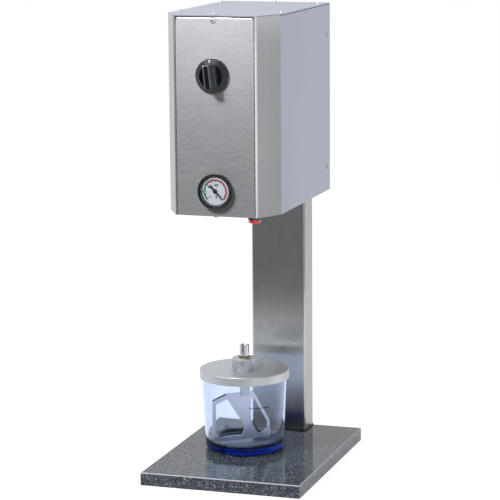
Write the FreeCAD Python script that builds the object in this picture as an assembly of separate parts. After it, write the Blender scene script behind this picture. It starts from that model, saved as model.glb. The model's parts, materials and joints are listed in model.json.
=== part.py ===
import FreeCAD, Part
import math
import os

# A benchtop vacuum mixer: a sheet-steel motor head on a column over a stone base,
# with a mixing bowl, lid and paddle that dock under the head.
# Millimetres. X is the width, Y runs from front to back, Z is up.
# The origin is the centre of the underside of the base.

V = FreeCAD.Vector
UP, DOWN = V(0, 0, 1), V(0, 0, -1)
FRONT, BACK = V(0, -1, 0), V(0, 1, 0)
RIGHT, LEFT = V(1, 0, 0), V(-1, 0, 0)

# How near two lengths must be to count as the same
tolerance = 0.02

# Stone base
base_width = 225.0
base_depth = 310.0
base_thick = 18.0
base_arris = 1.2

# Column, a rectangular steel tube, and what holds it
column_width = 80.0
column_depth = 40.0
column_wall = 3.0
column_corner = 3.0
column_drop = 26.5
gasket_thick = 2.0
gasket_lip = 1.0
foot_block_height = 25.0
foot_bolt_radius = 4.0
foot_bolt_spacing_x = 46.0
foot_bolt_spacing_y = 20.0
foot_bolt_head_radius = 6.5
foot_bolt_head_height = 8.0
foot_bolt_reach = 18.0
head_recess_extra = 1.0
cap_plate = 3.0
cap_plug = 14.0

# Head housing
head_floor = 374.0
head_height = 262.5
head_width = 155.0
front_width = 113.0
corner_depth = 39.0
corner_bend = 4.0
bend_land = 0.1
sheet = 1.5
cover_thick = 1.5
floor_thick = 3.0
cover_flange = 14.0
rear_flange = 24.0
side_return = 16.0
side_bend = 1.2
rear_return = 14.0
rear_return_inset = 12.0

# Front panel, a plate set flush into the front frame
panel_thick = 2.0
panel_gap = 0.8
panel_top_gap = 1.4
panel_corner = 3.0
tab_width = 30.0
tab_depth = 12.0

# Case screws
screw_radius = 2.0
screw_head_radius = 3.5
screw_head_height = 2.3
screw_length = 8.0
side_screw_low = 33.0
side_screw_high = 44.5
cover_screw_inset = 6.5
cover_screw_front = 26.0
cover_screw_side = 33.5
cover_screw_rear = 15.0
cover_screw_front_x = -3.5
cover_screw_rear_x = 1.5
panel_screw_drop = 6.5
panel_screw_x = -2.0
bolt_clearance = 0.25

# Mount between head and column
mount_plate_width = 92.0
mount_plate_thick = 5.0
mount_plate_rise = 24.0
mount_plate_drop = 2.0
head_bolt_radius = 3.0
head_bolt_head_radius = 5.0
head_bolt_head_height = 6.0
head_bolt_spacing_x = 50.0
head_bolt_inset_z = 30.0

# Rotary switch on the front
switch_x = -3.0
switch_drop = 78.2
knob_radius = 22.75
knob_rim = 2.2
knob_shoulder_radius = 16.0
knob_shoulder = 7.4
knob_dish_radius = 14.6
knob_dish_depth = 2.2
knob_grip_reach = 24.0
knob_grip_length = 30.0
knob_grip_front = 8.6
knob_grip_root = 17.0
knob_turn_at_rest = 6.5
knob_panel_gap = 0.5
knob_recess_radius = 9.0
knob_recess_depth = 4.6
switch_shaft_radius = 3.0
switch_shaft_in_knob = 7.0
running_gap = 0.05
switch_bush_radius = 5.0
switch_bush_reach = 3.6
switch_nut_width = 13.0
switch_nut_thick = 2.6
switch_body_size = 44.0
switch_body_depth = 46.0
switch_shaft_depth = 30.0

# Vacuum gauge on the front
gauge_x = 0.2
gauge_rise = 33.5
gauge_radius = 23.5
gauge_reach = 7.5
gauge_flange = 1.6
gauge_barrel_radius = 20.5
gauge_case_wall = 1.0
gauge_case_depth = 26.0
gauge_window_radius = 21.2
gauge_ledge = 1.6
gauge_edge_round = 0.9
glass_thick = 1.5
glass_seat = 0.9
inner_ring_thick = 1.6
dial_radius = 18.25
dial_thick = 0.8
pointer_tip = 13.7
pointer_tail = 10.0
pointer_tail_width = 2.2
pointer_needle_width = 1.5
pointer_hub_radius = 2.7
pointer_thick = 0.5
pointer_rise = 0.7
pointer_arbor_radius = 0.6
pointer_arbor_depth = 8.0
pointer_rest_angle = -47.0
movement_width = 18.0
movement_depth = 14.0
gauge_stem_radius = 5.0
gauge_stem_length = 16.0
gauge_stem_bore = 2.0
clamp_width = 12.0
clamp_thick = 2.0
clamp_span = 54.0

# Push button under the front right corner
button_from_corner = 9.5
button_from_front = 17.0
button_collar_radius = 8.75
button_collar_drop = 6.0
button_cap_radius = 8.0
button_cap_gap = 0.1
button_cap_round = 0.8
button_cap_drop = 4.6
button_travel = 3.0
button_cap_rise = 2.4
button_stem_radius = 3.0
button_stem_rise = 16.0
button_barrel_radius = 6.5
button_barrel_height = 8.0
button_block_side = 17.0
button_block_height = 25.0

# Drive and dock, all on one upright axis above the bowl
axis_x = -17.1
axis_y = 9.6
dock_drop = 17.5
dock_radius = 58.0
dock_recess_radius = 32.0
dock_gasket_inner = 46.0
dock_gasket_outer = 54.0
dock_gasket_thick = 3.5
dock_gasket_proud = 2.0
dock_bolt_circle = 38.0
dock_bolt_count = 6
dock_bolt_radius = 2.5
dock_bolt_head_radius = 4.25
dock_bolt_head_height = 5.0
dock_bolt_length = 21.0
housing_flange_radius = 52.0
housing_flange_thick = 8.0
housing_tube_radius = 22.0
housing_tube_height = 50.0
socket_radius = 11.0
socket_running_gap = 0.6
socket_drop = 2.5
socket_bore_gap = 0.5
socket_bore_depth = 16.0
socket_web = 12.0
spindle_in_socket = 10.0
spindle_radius = 6.0
seal_thick = 6.0
bearing_radius = 14.0
bearing_width = 8.0
bearing_gap = 14.0
bearing_play = 0.02
drive_pin_radius = 1.5
drive_pin_rise = 9.0
coupling_radius = 16.0
coupling_length = 32.0
coupling_gap = 3.0
spindle_above_bearings = 22.0

# Motor
motor_plate_side = 104.0
motor_plate_thick = 6.0
motor_post_spacing = 90.0
motor_post_radius = 5.0
motor_radius = 38.0
motor_height = 96.0
motor_wall = 2.5
stator_radius = 24.5
stator_height = 56.0
stator_rise = 18.0
rotor_tail = 12.0
rotor_radius = 23.8
rotor_height = 54.0
motor_shaft_radius = 6.0
motor_floor_gap = 18.0
post_screw_radius = 2.5
post_screw_head_radius = 4.5
post_screw_head_height = 2.6
post_screw_length = 14.0

# Vacuum block, circuit board and rear fittings
ejector_size_x = 28.0
ejector_size_y = 76.0
ejector_size_z = 26.0
ejector_x = 57.0
ejector_y = -20.0
valve_inset = 4.0
valve_length = 30.0
valve_height = 24.0
board_width = 92.0
board_height = 100.0
board_thick = 1.6
board_rise = 66.0
standoff_radius = 3.0
standoff_length = 11.0
standoff_inset = 5.0
fitting_x = 58.0
air_fitting_rise = 46.0
air_fitting_radius = 6.5
air_fitting_reach = 16.0
air_tube_radius = 3.05
cord_gland_rise = 90.0
cord_gland_radius = 9.0
cord_gland_reach = 18.0
cord_hole_radius = 3.75
fitting_thread_radius = 5.0
fitting_nut_thick = 5.0
hose_radius = 3.0
hose_bend = 9.0
hose_stem_run = 16.0

# Mixing bowl, lid and paddle
bowl_foot_radius = 52.0
bowl_edge_radius = 55.5
bowl_rim_radius = 60.0
bowl_wall = 3.0
bowl_floor = 9.0
bowl_edge_height = 10.0
bowl_height = 107.0
bowl_foot_recess = 1.0
bowl_foot_ring = 7.0
bowl_edge_round = 6.0
bowl_inside_round = 3.0
lid_radius = 62.7
lid_seal_thick = 1.8
lid_plate = 5.2
lid_skirt = 12.0
lid_skirt_gap = 0.5
lid_edge_round = 1.0
lid_hub_radius = 17.3
lid_hub_height = 15.5
lid_under_hub_radius = 13.0
lid_under_hub = 8.0
vent_radius = 0.8
vent_reach = 24.7
vent_angle = 38.0
shaft_radius = 6.8
bush_wall = 1.7
bush_proud = 1.0
shaft_ring_radius = 8.5
shaft_ring_thick = 1.2
shaft_ring_gap = 0.2
shaft_above_lid = 34.0
fork_depth = 11.0
fork_slot = 4.4
shaft_foot_height = 93.5
shaft_end_round = 0.6
paddle_thick = 1.5
paddle_angle = 38.0
paddle_top = 97.5
paddle_shoulder = 89.5
paddle_bottom = 29.5
paddle_left = 47.7
paddle_right = 37.4
paddle_top_left = 27.7
paddle_top_right = 12.8
paddle_elbow = 53.0
paddle_corner = 1.0
window_corner = 1.6
paddle_rim = 5.0

# Levels and faces that follow from the sizes above
base_front = -base_depth / 2
base_back = base_depth / 2
column_front = base_back - column_depth
column_foot = base_thick + gasket_thick
head_top = head_floor + head_height
column_top = head_top - column_drop
wall_top = head_top - cover_thick
half_head = head_width / 2
half_front = front_width / 2
corner_turn = math.atan2(corner_depth, half_head - half_front)
bend_run = corner_bend * math.tan(corner_turn / 2)
switch_height = head_top - switch_drop
gauge_height = head_floor + gauge_rise
half_panel = half_front - bend_run - bend_land - panel_gap
recess_half = half_panel + panel_gap
corner_back = base_front + corner_depth
button_x = half_front - button_from_corner
button_y = base_front + button_from_front
web_front = base_front + panel_thick
web_back = web_front + sheet
floor_bottom = head_floor + sheet
floor_top = floor_bottom + floor_thick
inner_half = half_head - sheet
head_inside_back = column_front - sheet
flange_under = wall_top - sheet
bowl_bottom = base_thick
bowl_top = bowl_bottom + bowl_height
lid_under = bowl_top + lid_seal_thick
lid_top = lid_under + lid_plate
hub_top = lid_top + lid_hub_height
shaft_top = lid_top + shaft_above_lid
dock_bottom = floor_bottom - dock_drop
gasket_face = dock_bottom - dock_gasket_proud
housing_top = floor_top + housing_flange_thick + housing_tube_height
socket_bottom = floor_top - socket_drop
socket_bore_radius = shaft_radius + socket_bore_gap
socket_top = socket_bottom + socket_bore_depth + socket_web
lower_bearing = housing_top - 2 * bearing_width - bearing_gap
spindle_foot = socket_top - spindle_in_socket
spindle_top = housing_top + spindle_above_bearings
motor_plate_bottom = spindle_top + coupling_length / 2 + motor_floor_gap
motor_foot = motor_plate_bottom + motor_plate_thick
mount_plate_bottom = head_floor + mount_plate_rise
mount_plate_height = column_top - mount_plate_drop - mount_plate_bottom
mount_plate_middle = mount_plate_bottom + mount_plate_height / 2
head_bolt_spacing_z = mount_plate_height - 2 * head_bolt_inset_z
mount_plate_front = head_inside_back - mount_plate_thick
gauge_face = base_front - gauge_reach


def box(x0, x1, y0, y1, z0, z1):
    """A block between two corners."""
    return Part.makeBox(x1 - x0, y1 - y0, z1 - z0, V(x0, y0, z0))


def rod(radius, length, start, direction=UP):
    """A cylinder from a start point along a direction."""
    return Part.makeCylinder(radius, length, start, direction)


def ring(outer, inner, length, start, direction=UP):
    """A straight tube."""
    return rod(outer, length, start, direction).cut(rod(inner, length, start, direction))


def along(start, direction, distance):
    """The point a distance from a start point."""
    return start + direction * distance


def outline_face(points):
    """A flat face inside a closed run of points."""
    return Part.Face(Part.makePolygon([V(*p) for p in points] + [V(*points[0])]))


def plate(outline, z0, z1):
    """A level plate with an outline of X, Y points."""
    return outline_face([(x, y, z0) for x, y in outline]).extrude(V(0, 0, z1 - z0))


def turned(profile, centre, direction=UP):
    """A round piece from radius and distance points, turned about its own axis."""
    solid = outline_face([(r, 0, h) for r, h in profile]).revolve(V(0, 0, 0), UP, 360)
    solid.Placement = FreeCAD.Placement(centre, FreeCAD.Rotation(UP, direction))
    return solid


def nut(across, thick, bore, start, direction):
    """A hexagonal nut."""
    corner = across / math.sqrt(3)
    points = [polar(corner, 60 * k) for k in range(6)]
    solid = plate(points, 0, thick).cut(rod(bore, thick, V(0, 0, 0)))
    solid.Placement = FreeCAD.Placement(start, FreeCAD.Rotation(UP, direction))
    return solid


def polar(radius, angle):
    """X and Y of a point at a radius and an angle in degrees."""
    return radius * math.cos(math.radians(angle)), radius * math.sin(math.radians(angle))


def on_axis(height, dx=0.0, dy=0.0):
    """A point at a height on the drive axis, or beside it."""
    return V(axis_x + dx, axis_y + dy, height)


def mirrored(shape):
    """The same shape on the other side of the middle plane."""
    return shape.mirror(V(0, 0, 0), RIGHT)


def filleted(shape, radius, chosen):
    """Round the edges that a test picks."""
    edges = [e for e in shape.Edges if chosen(e)]
    return shape.makeFillet(radius, edges)


def upright_at(edge, x, y):
    """True for an upright edge at an X, Y place."""
    low, high = edge.BoundBox.ZMin, edge.BoundBox.ZMax
    middle = edge.CenterOfMass
    return (
        high - low > tolerance
        and edge.BoundBox.XLength < tolerance
        and edge.BoundBox.YLength < tolerance
        and abs(middle.x - x) < tolerance
        and abs(middle.y - y) < tolerance
    )


def pan_screw(seat, direction, shank, head_radius, head_height, length):
    """A screw whose head rests on the seat and whose shank runs along the direction."""
    head = rod(head_radius, head_height, along(seat, direction, -head_height), direction)
    return head.fuse(rod(shank, length, seat, direction)).removeSplitter()


def case_screw(seat, direction):
    """One of the identical screws of the sheet case."""
    return pan_screw(
        seat, direction, screw_radius, screw_head_radius, screw_head_height, screw_length
    )


def grid(spacing_x, spacing_y):
    """The four corners of a rectangle about the origin."""
    return [(sx * spacing_x / 2, sy * spacing_y / 2) for sx in (-1, 1) for sy in (-1, 1)]


def foot_bolt_places():
    middle = column_front + column_depth / 2
    return [(x, middle + y) for x, y in grid(foot_bolt_spacing_x, foot_bolt_spacing_y)]


def head_bolt_places():
    return [
        (x, mount_plate_middle + z) for x, z in grid(head_bolt_spacing_x, head_bolt_spacing_z)
    ]


def cover_screw_places():
    side = half_head - cover_screw_inset
    near, far = corner_back + cover_screw_front, column_front - cover_screw_side
    places = [(s * side, y) for s in (-1, 1) for y in (near, far)]
    front = (cover_screw_front_x, web_back + cover_flange / 2)
    rear = (cover_screw_rear_x, column_front - cover_screw_rear)
    return places + [front, rear]


def side_screw_places():
    return [
        (column_front - sheet - rear_return / 2, head_floor + side_screw_low),
        (column_front - sheet - rear_return / 2, head_top - side_screw_high),
    ]


panel_screw_height = head_top - panel_screw_drop
tab_screw_y = base_front + tab_depth / 2


def base_plate():
    slab = box(-base_width / 2, base_width / 2, base_front, base_back, 0, base_thick)
    top_edges = [e for e in slab.Edges if e.BoundBox.ZMin > base_thick - tolerance]
    slab = slab.makeChamfer(base_arris, top_edges)
    recess = foot_bolt_head_height + head_recess_extra
    for x, y in foot_bolt_places():
        slab = slab.cut(rod(foot_bolt_head_radius + head_recess_extra, recess, V(x, y, 0)))
        slab = slab.cut(rod(foot_bolt_radius + bolt_clearance, base_thick, V(x, y, 0)))
    return slab


def column_prism(grow, corner, z0, z1):
    """An upright block with the tube's section, grown or shrunk all round."""
    half = column_width / 2 + grow
    y0, y1 = column_front - grow, base_back + grow
    solid = box(-half, half, y0, y1, z0, z1)
    corners = [(x, y) for x in (-half, half) for y in (y0, y1)]
    return filleted(solid, corner, lambda e: any(upright_at(e, x, y) for x, y in corners))


def column_tube():
    outer = column_prism(0, column_corner, column_foot, column_top)
    inner = column_prism(-column_wall, column_corner / 3, column_foot, column_top)
    tube = outer.cut(inner)
    for x, z in head_bolt_places():
        tube = tube.cut(rod(head_bolt_radius, column_wall, V(x, column_front, z), BACK))
    return tube


def column_gasket():
    back_trim = box(
        -column_width, column_width, base_back, base_back + 2 * gasket_lip, 0, column_foot
    )
    pad = column_prism(gasket_lip, column_corner + gasket_lip, base_thick, column_foot)
    pad = pad.cut(back_trim)
    for x, y in foot_bolt_places():
        pad = pad.cut(rod(foot_bolt_radius + bolt_clearance, gasket_thick, V(x, y, base_thick)))
    return pad


def column_foot_block():
    block = column_prism(
        -column_wall, column_corner / 3, column_foot, column_foot + foot_block_height
    )
    for x, y in foot_bolt_places():
        block = block.cut(rod(foot_bolt_radius, foot_block_height, V(x, y, column_foot)))
    return block


def foot_bolts():
    head_bottom = head_recess_extra
    seat = head_bottom + foot_bolt_head_height
    length = column_foot - seat + foot_bolt_reach
    return [
        pan_screw(
            V(x, y, seat), UP, foot_bolt_radius, foot_bolt_head_radius, foot_bolt_head_height, length
        )
        for x, y in foot_bolt_places()
    ]


def column_cap():
    top = column_prism(0, column_corner, column_top, column_top + cap_plate)
    plug = column_prism(-column_wall, column_corner / 3, column_top - cap_plug, column_top)
    hollow = column_prism(
        -2 * column_wall, column_corner / 3, column_top - cap_plug, column_top
    )
    return top.fuse(plug.cut(hollow)).removeSplitter()


def backing_plate():
    half = mount_plate_width / 2
    top = mount_plate_bottom + mount_plate_height
    solid = box(-half, half, mount_plate_front, head_inside_back, mount_plate_bottom, top)
    for x, z in head_bolt_places():
        hole = rod(
            head_bolt_radius + bolt_clearance, mount_plate_thick, V(x, mount_plate_front, z), BACK
        )
        solid = solid.cut(hole)
    for x, z in standoff_places():
        solid = solid.cut(rod(screw_radius, mount_plate_thick, V(x, mount_plate_front, z), BACK))
    return solid


def head_bolts():
    length = mount_plate_thick + sheet + column_wall + head_bolt_radius
    return [
        pan_screw(
            V(x, mount_plate_front, z), BACK, head_bolt_radius, head_bolt_head_radius,
            head_bolt_head_height, length,
        )
        for x, z in head_bolt_places()
    ]


def corner_inner_line():
    """Two points where the inside of the angled corner meets the web and the side flange."""
    slope_x = half_head - half_front
    length = math.hypot(slope_x, corner_depth)
    ux, uy = slope_x / length, corner_depth / length
    px, py = half_front - uy * sheet, base_front + ux * sheet
    at_web = px + (web_back - py) * ux / uy
    flange_inside = inner_half - sheet
    at_flange = py + (flange_inside - px) * uy / ux
    return at_web, flange_inside, at_flange


def front_frame():
    at_web, flange_inside, at_flange = corner_inner_line()
    flange_end = corner_back + side_return
    half = [
        (0, web_front), (recess_half, web_front), (recess_half, base_front),
        (half_front, base_front), (half_head, corner_back), (inner_half, corner_back),
        (inner_half, flange_end), (flange_inside, flange_end), (flange_inside, at_flange),
        (at_web, web_back), (0, web_back),
    ]
    side = plate(half, head_floor, wall_top)
    side = filleted(side, corner_bend, lambda e: upright_at(e, half_front, base_front))
    frame = side.fuse(mirrored(side)).removeSplitter()
    top = box(
        -at_web + sheet, at_web - sheet, web_back, web_back + cover_flange, flange_under, wall_top
    )
    frame = frame.fuse(top).removeSplitter()
    notch = tab_width / 2 + panel_gap
    frame = frame.cut(box(-notch, notch, web_front, web_back, head_floor, floor_bottom))
    frame = frame.cut(rod(screw_radius, sheet, V(panel_screw_x, web_front, panel_screw_height), BACK))
    frame = frame.cut(
        rod(switch_bush_radius + bolt_clearance, sheet, V(switch_x, web_front, switch_height), BACK)
    )
    gauge_hole = gauge_barrel_radius + bolt_clearance
    frame = frame.cut(rod(gauge_hole, sheet, V(gauge_x, web_front, gauge_height), BACK))
    x, y = cover_screw_places()[4]
    return frame.cut(rod(screw_radius, sheet, V(x, y, flange_under)))


def side_panel():
    wall = box(inner_half, half_head, corner_back, column_front, head_floor, wall_top)
    flange_end = corner_back + side_return + sheet
    rear_end = head_inside_back - rear_return - sheet
    flange = box(
        inner_half - cover_flange, inner_half, flange_end, rear_end, flange_under, wall_top
    )
    panel = wall.fuse(flange).removeSplitter()

    def top_bend(edge):
        middle = edge.CenterOfMass
        return abs(middle.x - half_head) < tolerance and abs(middle.z - wall_top) < tolerance

    panel = filleted(panel, side_bend, top_bend)
    for y, z in side_screw_places():
        panel = panel.cut(rod(screw_radius + bolt_clearance, sheet, V(inner_half, y, z), RIGHT))
    for x, y in cover_screw_places()[2:4]:
        panel = panel.cut(rod(screw_radius, sheet, V(x, y, flange_under)))
    return panel


def rear_panel():
    flange_low, flange_high = head_floor + rear_return_inset, head_top - rear_return_inset
    panel = box(-inner_half, inner_half, head_inside_back, column_front, head_floor, wall_top)
    side = box(
        inner_half - sheet, inner_half, head_inside_back - rear_return, head_inside_back,
        flange_low, flange_high,
    )
    for y, z in side_screw_places():
        side = side.cut(rod(screw_radius, sheet, V(inner_half - sheet, y, z), RIGHT))
    panel = panel.fuse(side).fuse(mirrored(side))
    half = inner_half - cover_flange - 2 * sheet
    top = box(-half, half, head_inside_back - rear_flange, head_inside_back, flange_under, wall_top)
    x, y = cover_screw_places()[5]
    panel = panel.fuse(top.cut(rod(screw_radius, sheet, V(x, y, flange_under))))
    for x, z in head_bolt_places():
        hole = rod(head_bolt_radius + bolt_clearance, sheet, V(x, head_inside_back, z), BACK)
        panel = panel.cut(hole)
    for rise in (air_fitting_rise, cord_gland_rise):
        hole = rod(fitting_thread_radius, sheet, V(fitting_x, head_inside_back, head_floor + rise), BACK)
        panel = panel.cut(hole)
    return panel.removeSplitter()


def top_cover():
    points = [
        (-half_front, base_front), (half_front, base_front), (half_head, corner_back),
        (half_head, column_front), (-half_head, column_front), (-half_head, corner_back),
    ]
    cover = plate(points, wall_top, head_top)
    for side in (-1, 1):
        cover = filleted(cover, corner_bend, lambda e: upright_at(e, side * half_front, base_front))
    for x, y in cover_screw_places():
        cover = cover.cut(rod(screw_radius + bolt_clearance, cover_thick, V(x, y, wall_top)))
    return cover


def bottom_plate():
    at_web, flange_inside, at_flange = corner_inner_line()
    flange_end = corner_back + side_return
    half = [
        (at_web, web_back), (flange_inside, at_flange), (flange_inside, flange_end),
        (inner_half, flange_end), (inner_half, head_inside_back),
    ]
    points = half + [(-x, y) for x, y in reversed(half)]
    floor = plate(points, floor_bottom, floor_top)
    floor = floor.cut(rod(dock_recess_radius, floor_thick, on_axis(floor_bottom)))
    floor = floor.cut(rod(button_barrel_radius, floor_thick, V(button_x, button_y, floor_bottom)))
    floor = floor.cut(rod(screw_radius, floor_thick, V(panel_screw_x, tab_screw_y, floor_bottom)))
    for x, y in dock_bolt_places():
        floor = floor.cut(
            rod(dock_bolt_radius + bolt_clearance, floor_thick, on_axis(floor_bottom, x, y))
        )
    for x, y in motor_post_places():
        hole = rod(post_screw_radius + bolt_clearance, floor_thick, on_axis(floor_bottom, x, y))
        floor = floor.cut(hole)
    return floor


def front_panel():
    top = wall_top - panel_top_gap
    panel = box(-half_panel, half_panel, base_front, web_front, head_floor, top)

    def top_corner(edge):
        middle = edge.CenterOfMass
        return (
            edge.BoundBox.YLength > panel_thick / 2
            and abs(abs(middle.x) - half_panel) < tolerance
            and abs(middle.z - top) < tolerance
        )

    panel = filleted(panel, panel_corner, top_corner)
    tab = box(
        -tab_width / 2, tab_width / 2, base_front, base_front + tab_depth, head_floor, floor_bottom
    )
    panel = panel.fuse(tab).removeSplitter()
    clear = screw_radius + bolt_clearance
    upper_screw = V(panel_screw_x, base_front, panel_screw_height)
    panel = panel.cut(rod(clear, panel_thick, upper_screw, BACK))
    panel = panel.cut(rod(clear, sheet, V(panel_screw_x, tab_screw_y, head_floor)))
    switch_hole = switch_bush_radius + bolt_clearance
    panel = panel.cut(rod(switch_hole, panel_thick, V(switch_x, base_front, switch_height), BACK))
    gauge_hole = gauge_barrel_radius + bolt_clearance
    return panel.cut(rod(gauge_hole, panel_thick, V(gauge_x, base_front, gauge_height), BACK))


def case_screws():
    screws = [case_screw(V(x, y, head_top), DOWN) for x, y in cover_screw_places()]
    for y, z in side_screw_places():
        screws.append(case_screw(V(half_head, y, z), LEFT))
        screws.append(case_screw(V(-half_head, y, z), RIGHT))
    screws.append(case_screw(V(panel_screw_x, base_front, panel_screw_height), BACK))
    screws.append(case_screw(V(panel_screw_x, tab_screw_y, head_floor), UP))
    return screws


def switch_knob():
    back = base_front - knob_panel_gap
    origin = V(switch_x, back, switch_height)
    dish_floor = knob_shoulder - knob_dish_depth
    skirt = turned(
        [
            (0, 0), (knob_radius, 0), (knob_radius, knob_rim),
            (knob_shoulder_radius, knob_shoulder), (knob_dish_radius, knob_shoulder),
            (knob_dish_radius, dish_floor), (0, dish_floor),
        ],
        origin,
        FRONT,
    )
    grip_front = back - (knob_grip_reach - knob_panel_gap)
    root, front = knob_grip_root / 2, knob_grip_front / 2
    low = switch_height - knob_grip_length / 2
    grip_root_y = back - dish_floor
    bar = outline_face(
        [
            (switch_x - root, grip_root_y, low), (switch_x - front, grip_front, low),
            (switch_x + front, grip_front, low), (switch_x + root, grip_root_y, low),
        ]
    ).extrude(V(0, 0, knob_grip_length))
    bar = bar.common(rod(knob_shoulder_radius, knob_grip_reach, origin, FRONT))
    knob = skirt.fuse(bar).removeSplitter()
    knob = knob.cut(rod(knob_recess_radius, knob_recess_depth, origin, FRONT))
    shaft_hole = knob_recess_depth + switch_shaft_in_knob
    knob = knob.cut(rod(switch_shaft_radius, shaft_hole, origin, FRONT))
    knob.rotate(origin, FRONT, knob_turn_at_rest)
    return knob


def switch_shaft():
    front = base_front - knob_panel_gap - knob_recess_depth - switch_shaft_in_knob
    length = web_back + switch_shaft_depth - front
    return rod(switch_shaft_radius, length, V(switch_x, front, switch_height), BACK)


def switch_body():
    half = switch_body_size / 2
    block = box(
        switch_x - half, switch_x + half, web_back, web_back + switch_body_depth,
        switch_height - half, switch_height + half,
    )
    bush_front = base_front - switch_bush_reach
    front = V(switch_x, bush_front, switch_height)
    bush = rod(switch_bush_radius, web_back - bush_front, front, BACK)
    depth = web_back + switch_shaft_depth + 1 - bush_front
    bore = rod(switch_shaft_radius + running_gap, depth, front, BACK)
    return block.fuse(bush).removeSplitter().cut(bore)


def switch_nut():
    place = V(switch_x, base_front, switch_height)
    return nut(switch_nut_width, switch_nut_thick, switch_bush_radius, place, FRONT)


def gauge_point(distance):
    """A point on the gauge's axis, a distance behind its front face."""
    return V(gauge_x, gauge_face + distance, gauge_height)


glass_back = gauge_ledge + glass_thick
inner_ring_back = glass_back + inner_ring_thick
dial_back = inner_ring_back + dial_thick
flange_front = gauge_reach - gauge_flange
case_back = flange_front + gauge_case_depth
ring_seat_radius = gauge_window_radius + glass_seat


def gauge_case():
    inside = gauge_barrel_radius - gauge_case_wall
    shell = turned(
        [
            (inside, dial_back), (ring_seat_radius, dial_back), (ring_seat_radius, flange_front),
            (gauge_radius, flange_front), (gauge_radius, gauge_reach),
            (gauge_barrel_radius, gauge_reach), (gauge_barrel_radius, case_back),
            (gauge_stem_radius, case_back), (gauge_stem_radius, case_back - gauge_case_wall),
            (inside, case_back - gauge_case_wall),
        ],
        gauge_point(0),
        BACK,
    )
    return shell


def gauge_bezel():
    profile = [
        (gauge_window_radius, 0), (gauge_radius, 0), (gauge_radius, flange_front),
        (ring_seat_radius, flange_front), (ring_seat_radius, gauge_ledge),
        (gauge_window_radius, gauge_ledge),
    ]
    bezel = turned(profile, gauge_point(0), BACK)

    def front_edge(edge):
        wide = edge.BoundBox.XLength > gauge_window_radius + gauge_radius
        return wide and abs(edge.BoundBox.YMax - gauge_face) < tolerance

    return filleted(bezel, gauge_edge_round, front_edge)


def gauge_glass():
    return rod(ring_seat_radius, glass_thick, gauge_point(gauge_ledge), BACK)


def gauge_inner_ring():
    return ring(ring_seat_radius, dial_radius, inner_ring_thick, gauge_point(glass_back), BACK)


def gauge_dial():
    disc = rod(ring_seat_radius, dial_thick, gauge_point(inner_ring_back), BACK)
    hole = rod(2 * pointer_arbor_radius, dial_thick, gauge_point(inner_ring_back), BACK)
    return disc.cut(hole)


def gauge_pointer():
    """Drawn pointing right, then turned to its rest angle about the gauge's axis."""
    half_tail, half_needle = pointer_tail_width / 2, pointer_needle_width / 2
    outline = [
        (-pointer_tail, -half_tail), (pointer_hub_radius, -half_needle),
        (pointer_tip, -half_needle / 2), (pointer_tip, half_needle / 2),
        (pointer_hub_radius, half_needle), (-pointer_tail, half_tail),
    ]
    back = gauge_face + inner_ring_back - pointer_rise
    points = [(gauge_x + x, back - pointer_thick, gauge_height + z) for x, z in outline]
    needle = outline_face(points).extrude(V(0, pointer_thick, 0))
    centre = V(gauge_x, back - pointer_thick, gauge_height)
    hub = rod(pointer_hub_radius, pointer_thick, centre, BACK)
    length = pointer_thick + pointer_rise + dial_thick + pointer_arbor_depth
    arbor = rod(pointer_arbor_radius, length, centre, BACK)
    pointer = needle.fuse(hub).fuse(arbor).removeSplitter()
    pointer.rotate(centre, FRONT, pointer_rest_angle)
    return pointer


def gauge_movement():
    """The brass socket: a stem out of the case's back, with the block that turns the arbor."""
    front = dial_back
    half = movement_width / 2
    back = case_back - gauge_case_wall
    block = box(
        gauge_x - half, gauge_x + half, gauge_face + front, gauge_face + back,
        gauge_height - movement_depth / 2, gauge_height + movement_depth / 2,
    )
    stem = rod(gauge_stem_radius, gauge_stem_length + gauge_case_wall, gauge_point(back), BACK)
    bore = rod(
        pointer_arbor_radius + running_gap, pointer_arbor_depth + 1, gauge_point(front), BACK
    )
    passage = rod(
        gauge_stem_bore, gauge_stem_length + 4, gauge_point(back - 4 + gauge_case_wall), BACK
    )
    return block.fuse(stem).removeSplitter().cut(bore).cut(passage)


def gauge_clamp():
    """A strap that pulls the gauge back against the panel."""
    half = clamp_span / 2
    strap_back = gauge_face + case_back + clamp_thick
    z0, z1 = gauge_height - clamp_width / 2, gauge_height + clamp_width / 2
    bar = box(gauge_x - half, gauge_x + half, strap_back - clamp_thick, strap_back, z0, z1)
    strap = bar
    for side in (-1, 1):
        edge = gauge_x + side * half
        inner = edge - side * clamp_thick
        strap = strap.fuse(box(min(edge, inner), max(edge, inner), web_back, strap_back, z0, z1))
    hole = rod(gauge_stem_radius, clamp_thick, gauge_point(case_back), BACK)
    clamp = strap.removeSplitter().cut(hole)
    lock = nut(
        gauge_stem_radius * 3, clamp_thick * 2, gauge_stem_radius,
        gauge_point(case_back + clamp_thick), BACK,
    )
    return [clamp, lock]


def button_point(height):
    return V(button_x, button_y, height)


button_rest = floor_bottom - button_collar_drop - button_cap_drop


def button_collar():
    bottom = floor_bottom - button_collar_drop
    collar = ring(
        button_collar_radius, button_cap_radius + button_cap_gap, button_collar_drop,
        button_point(bottom),
    )
    return collar


def button_cap():
    height = button_cap_drop + button_cap_rise
    cap = rod(button_cap_radius, height, button_point(button_rest))
    cap = filleted(cap, button_cap_round, lambda e: e.BoundBox.ZMax < button_rest + tolerance)
    stem = rod(button_stem_radius, button_stem_rise, button_point(button_rest + height))
    return cap.fuse(stem).removeSplitter()


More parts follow.
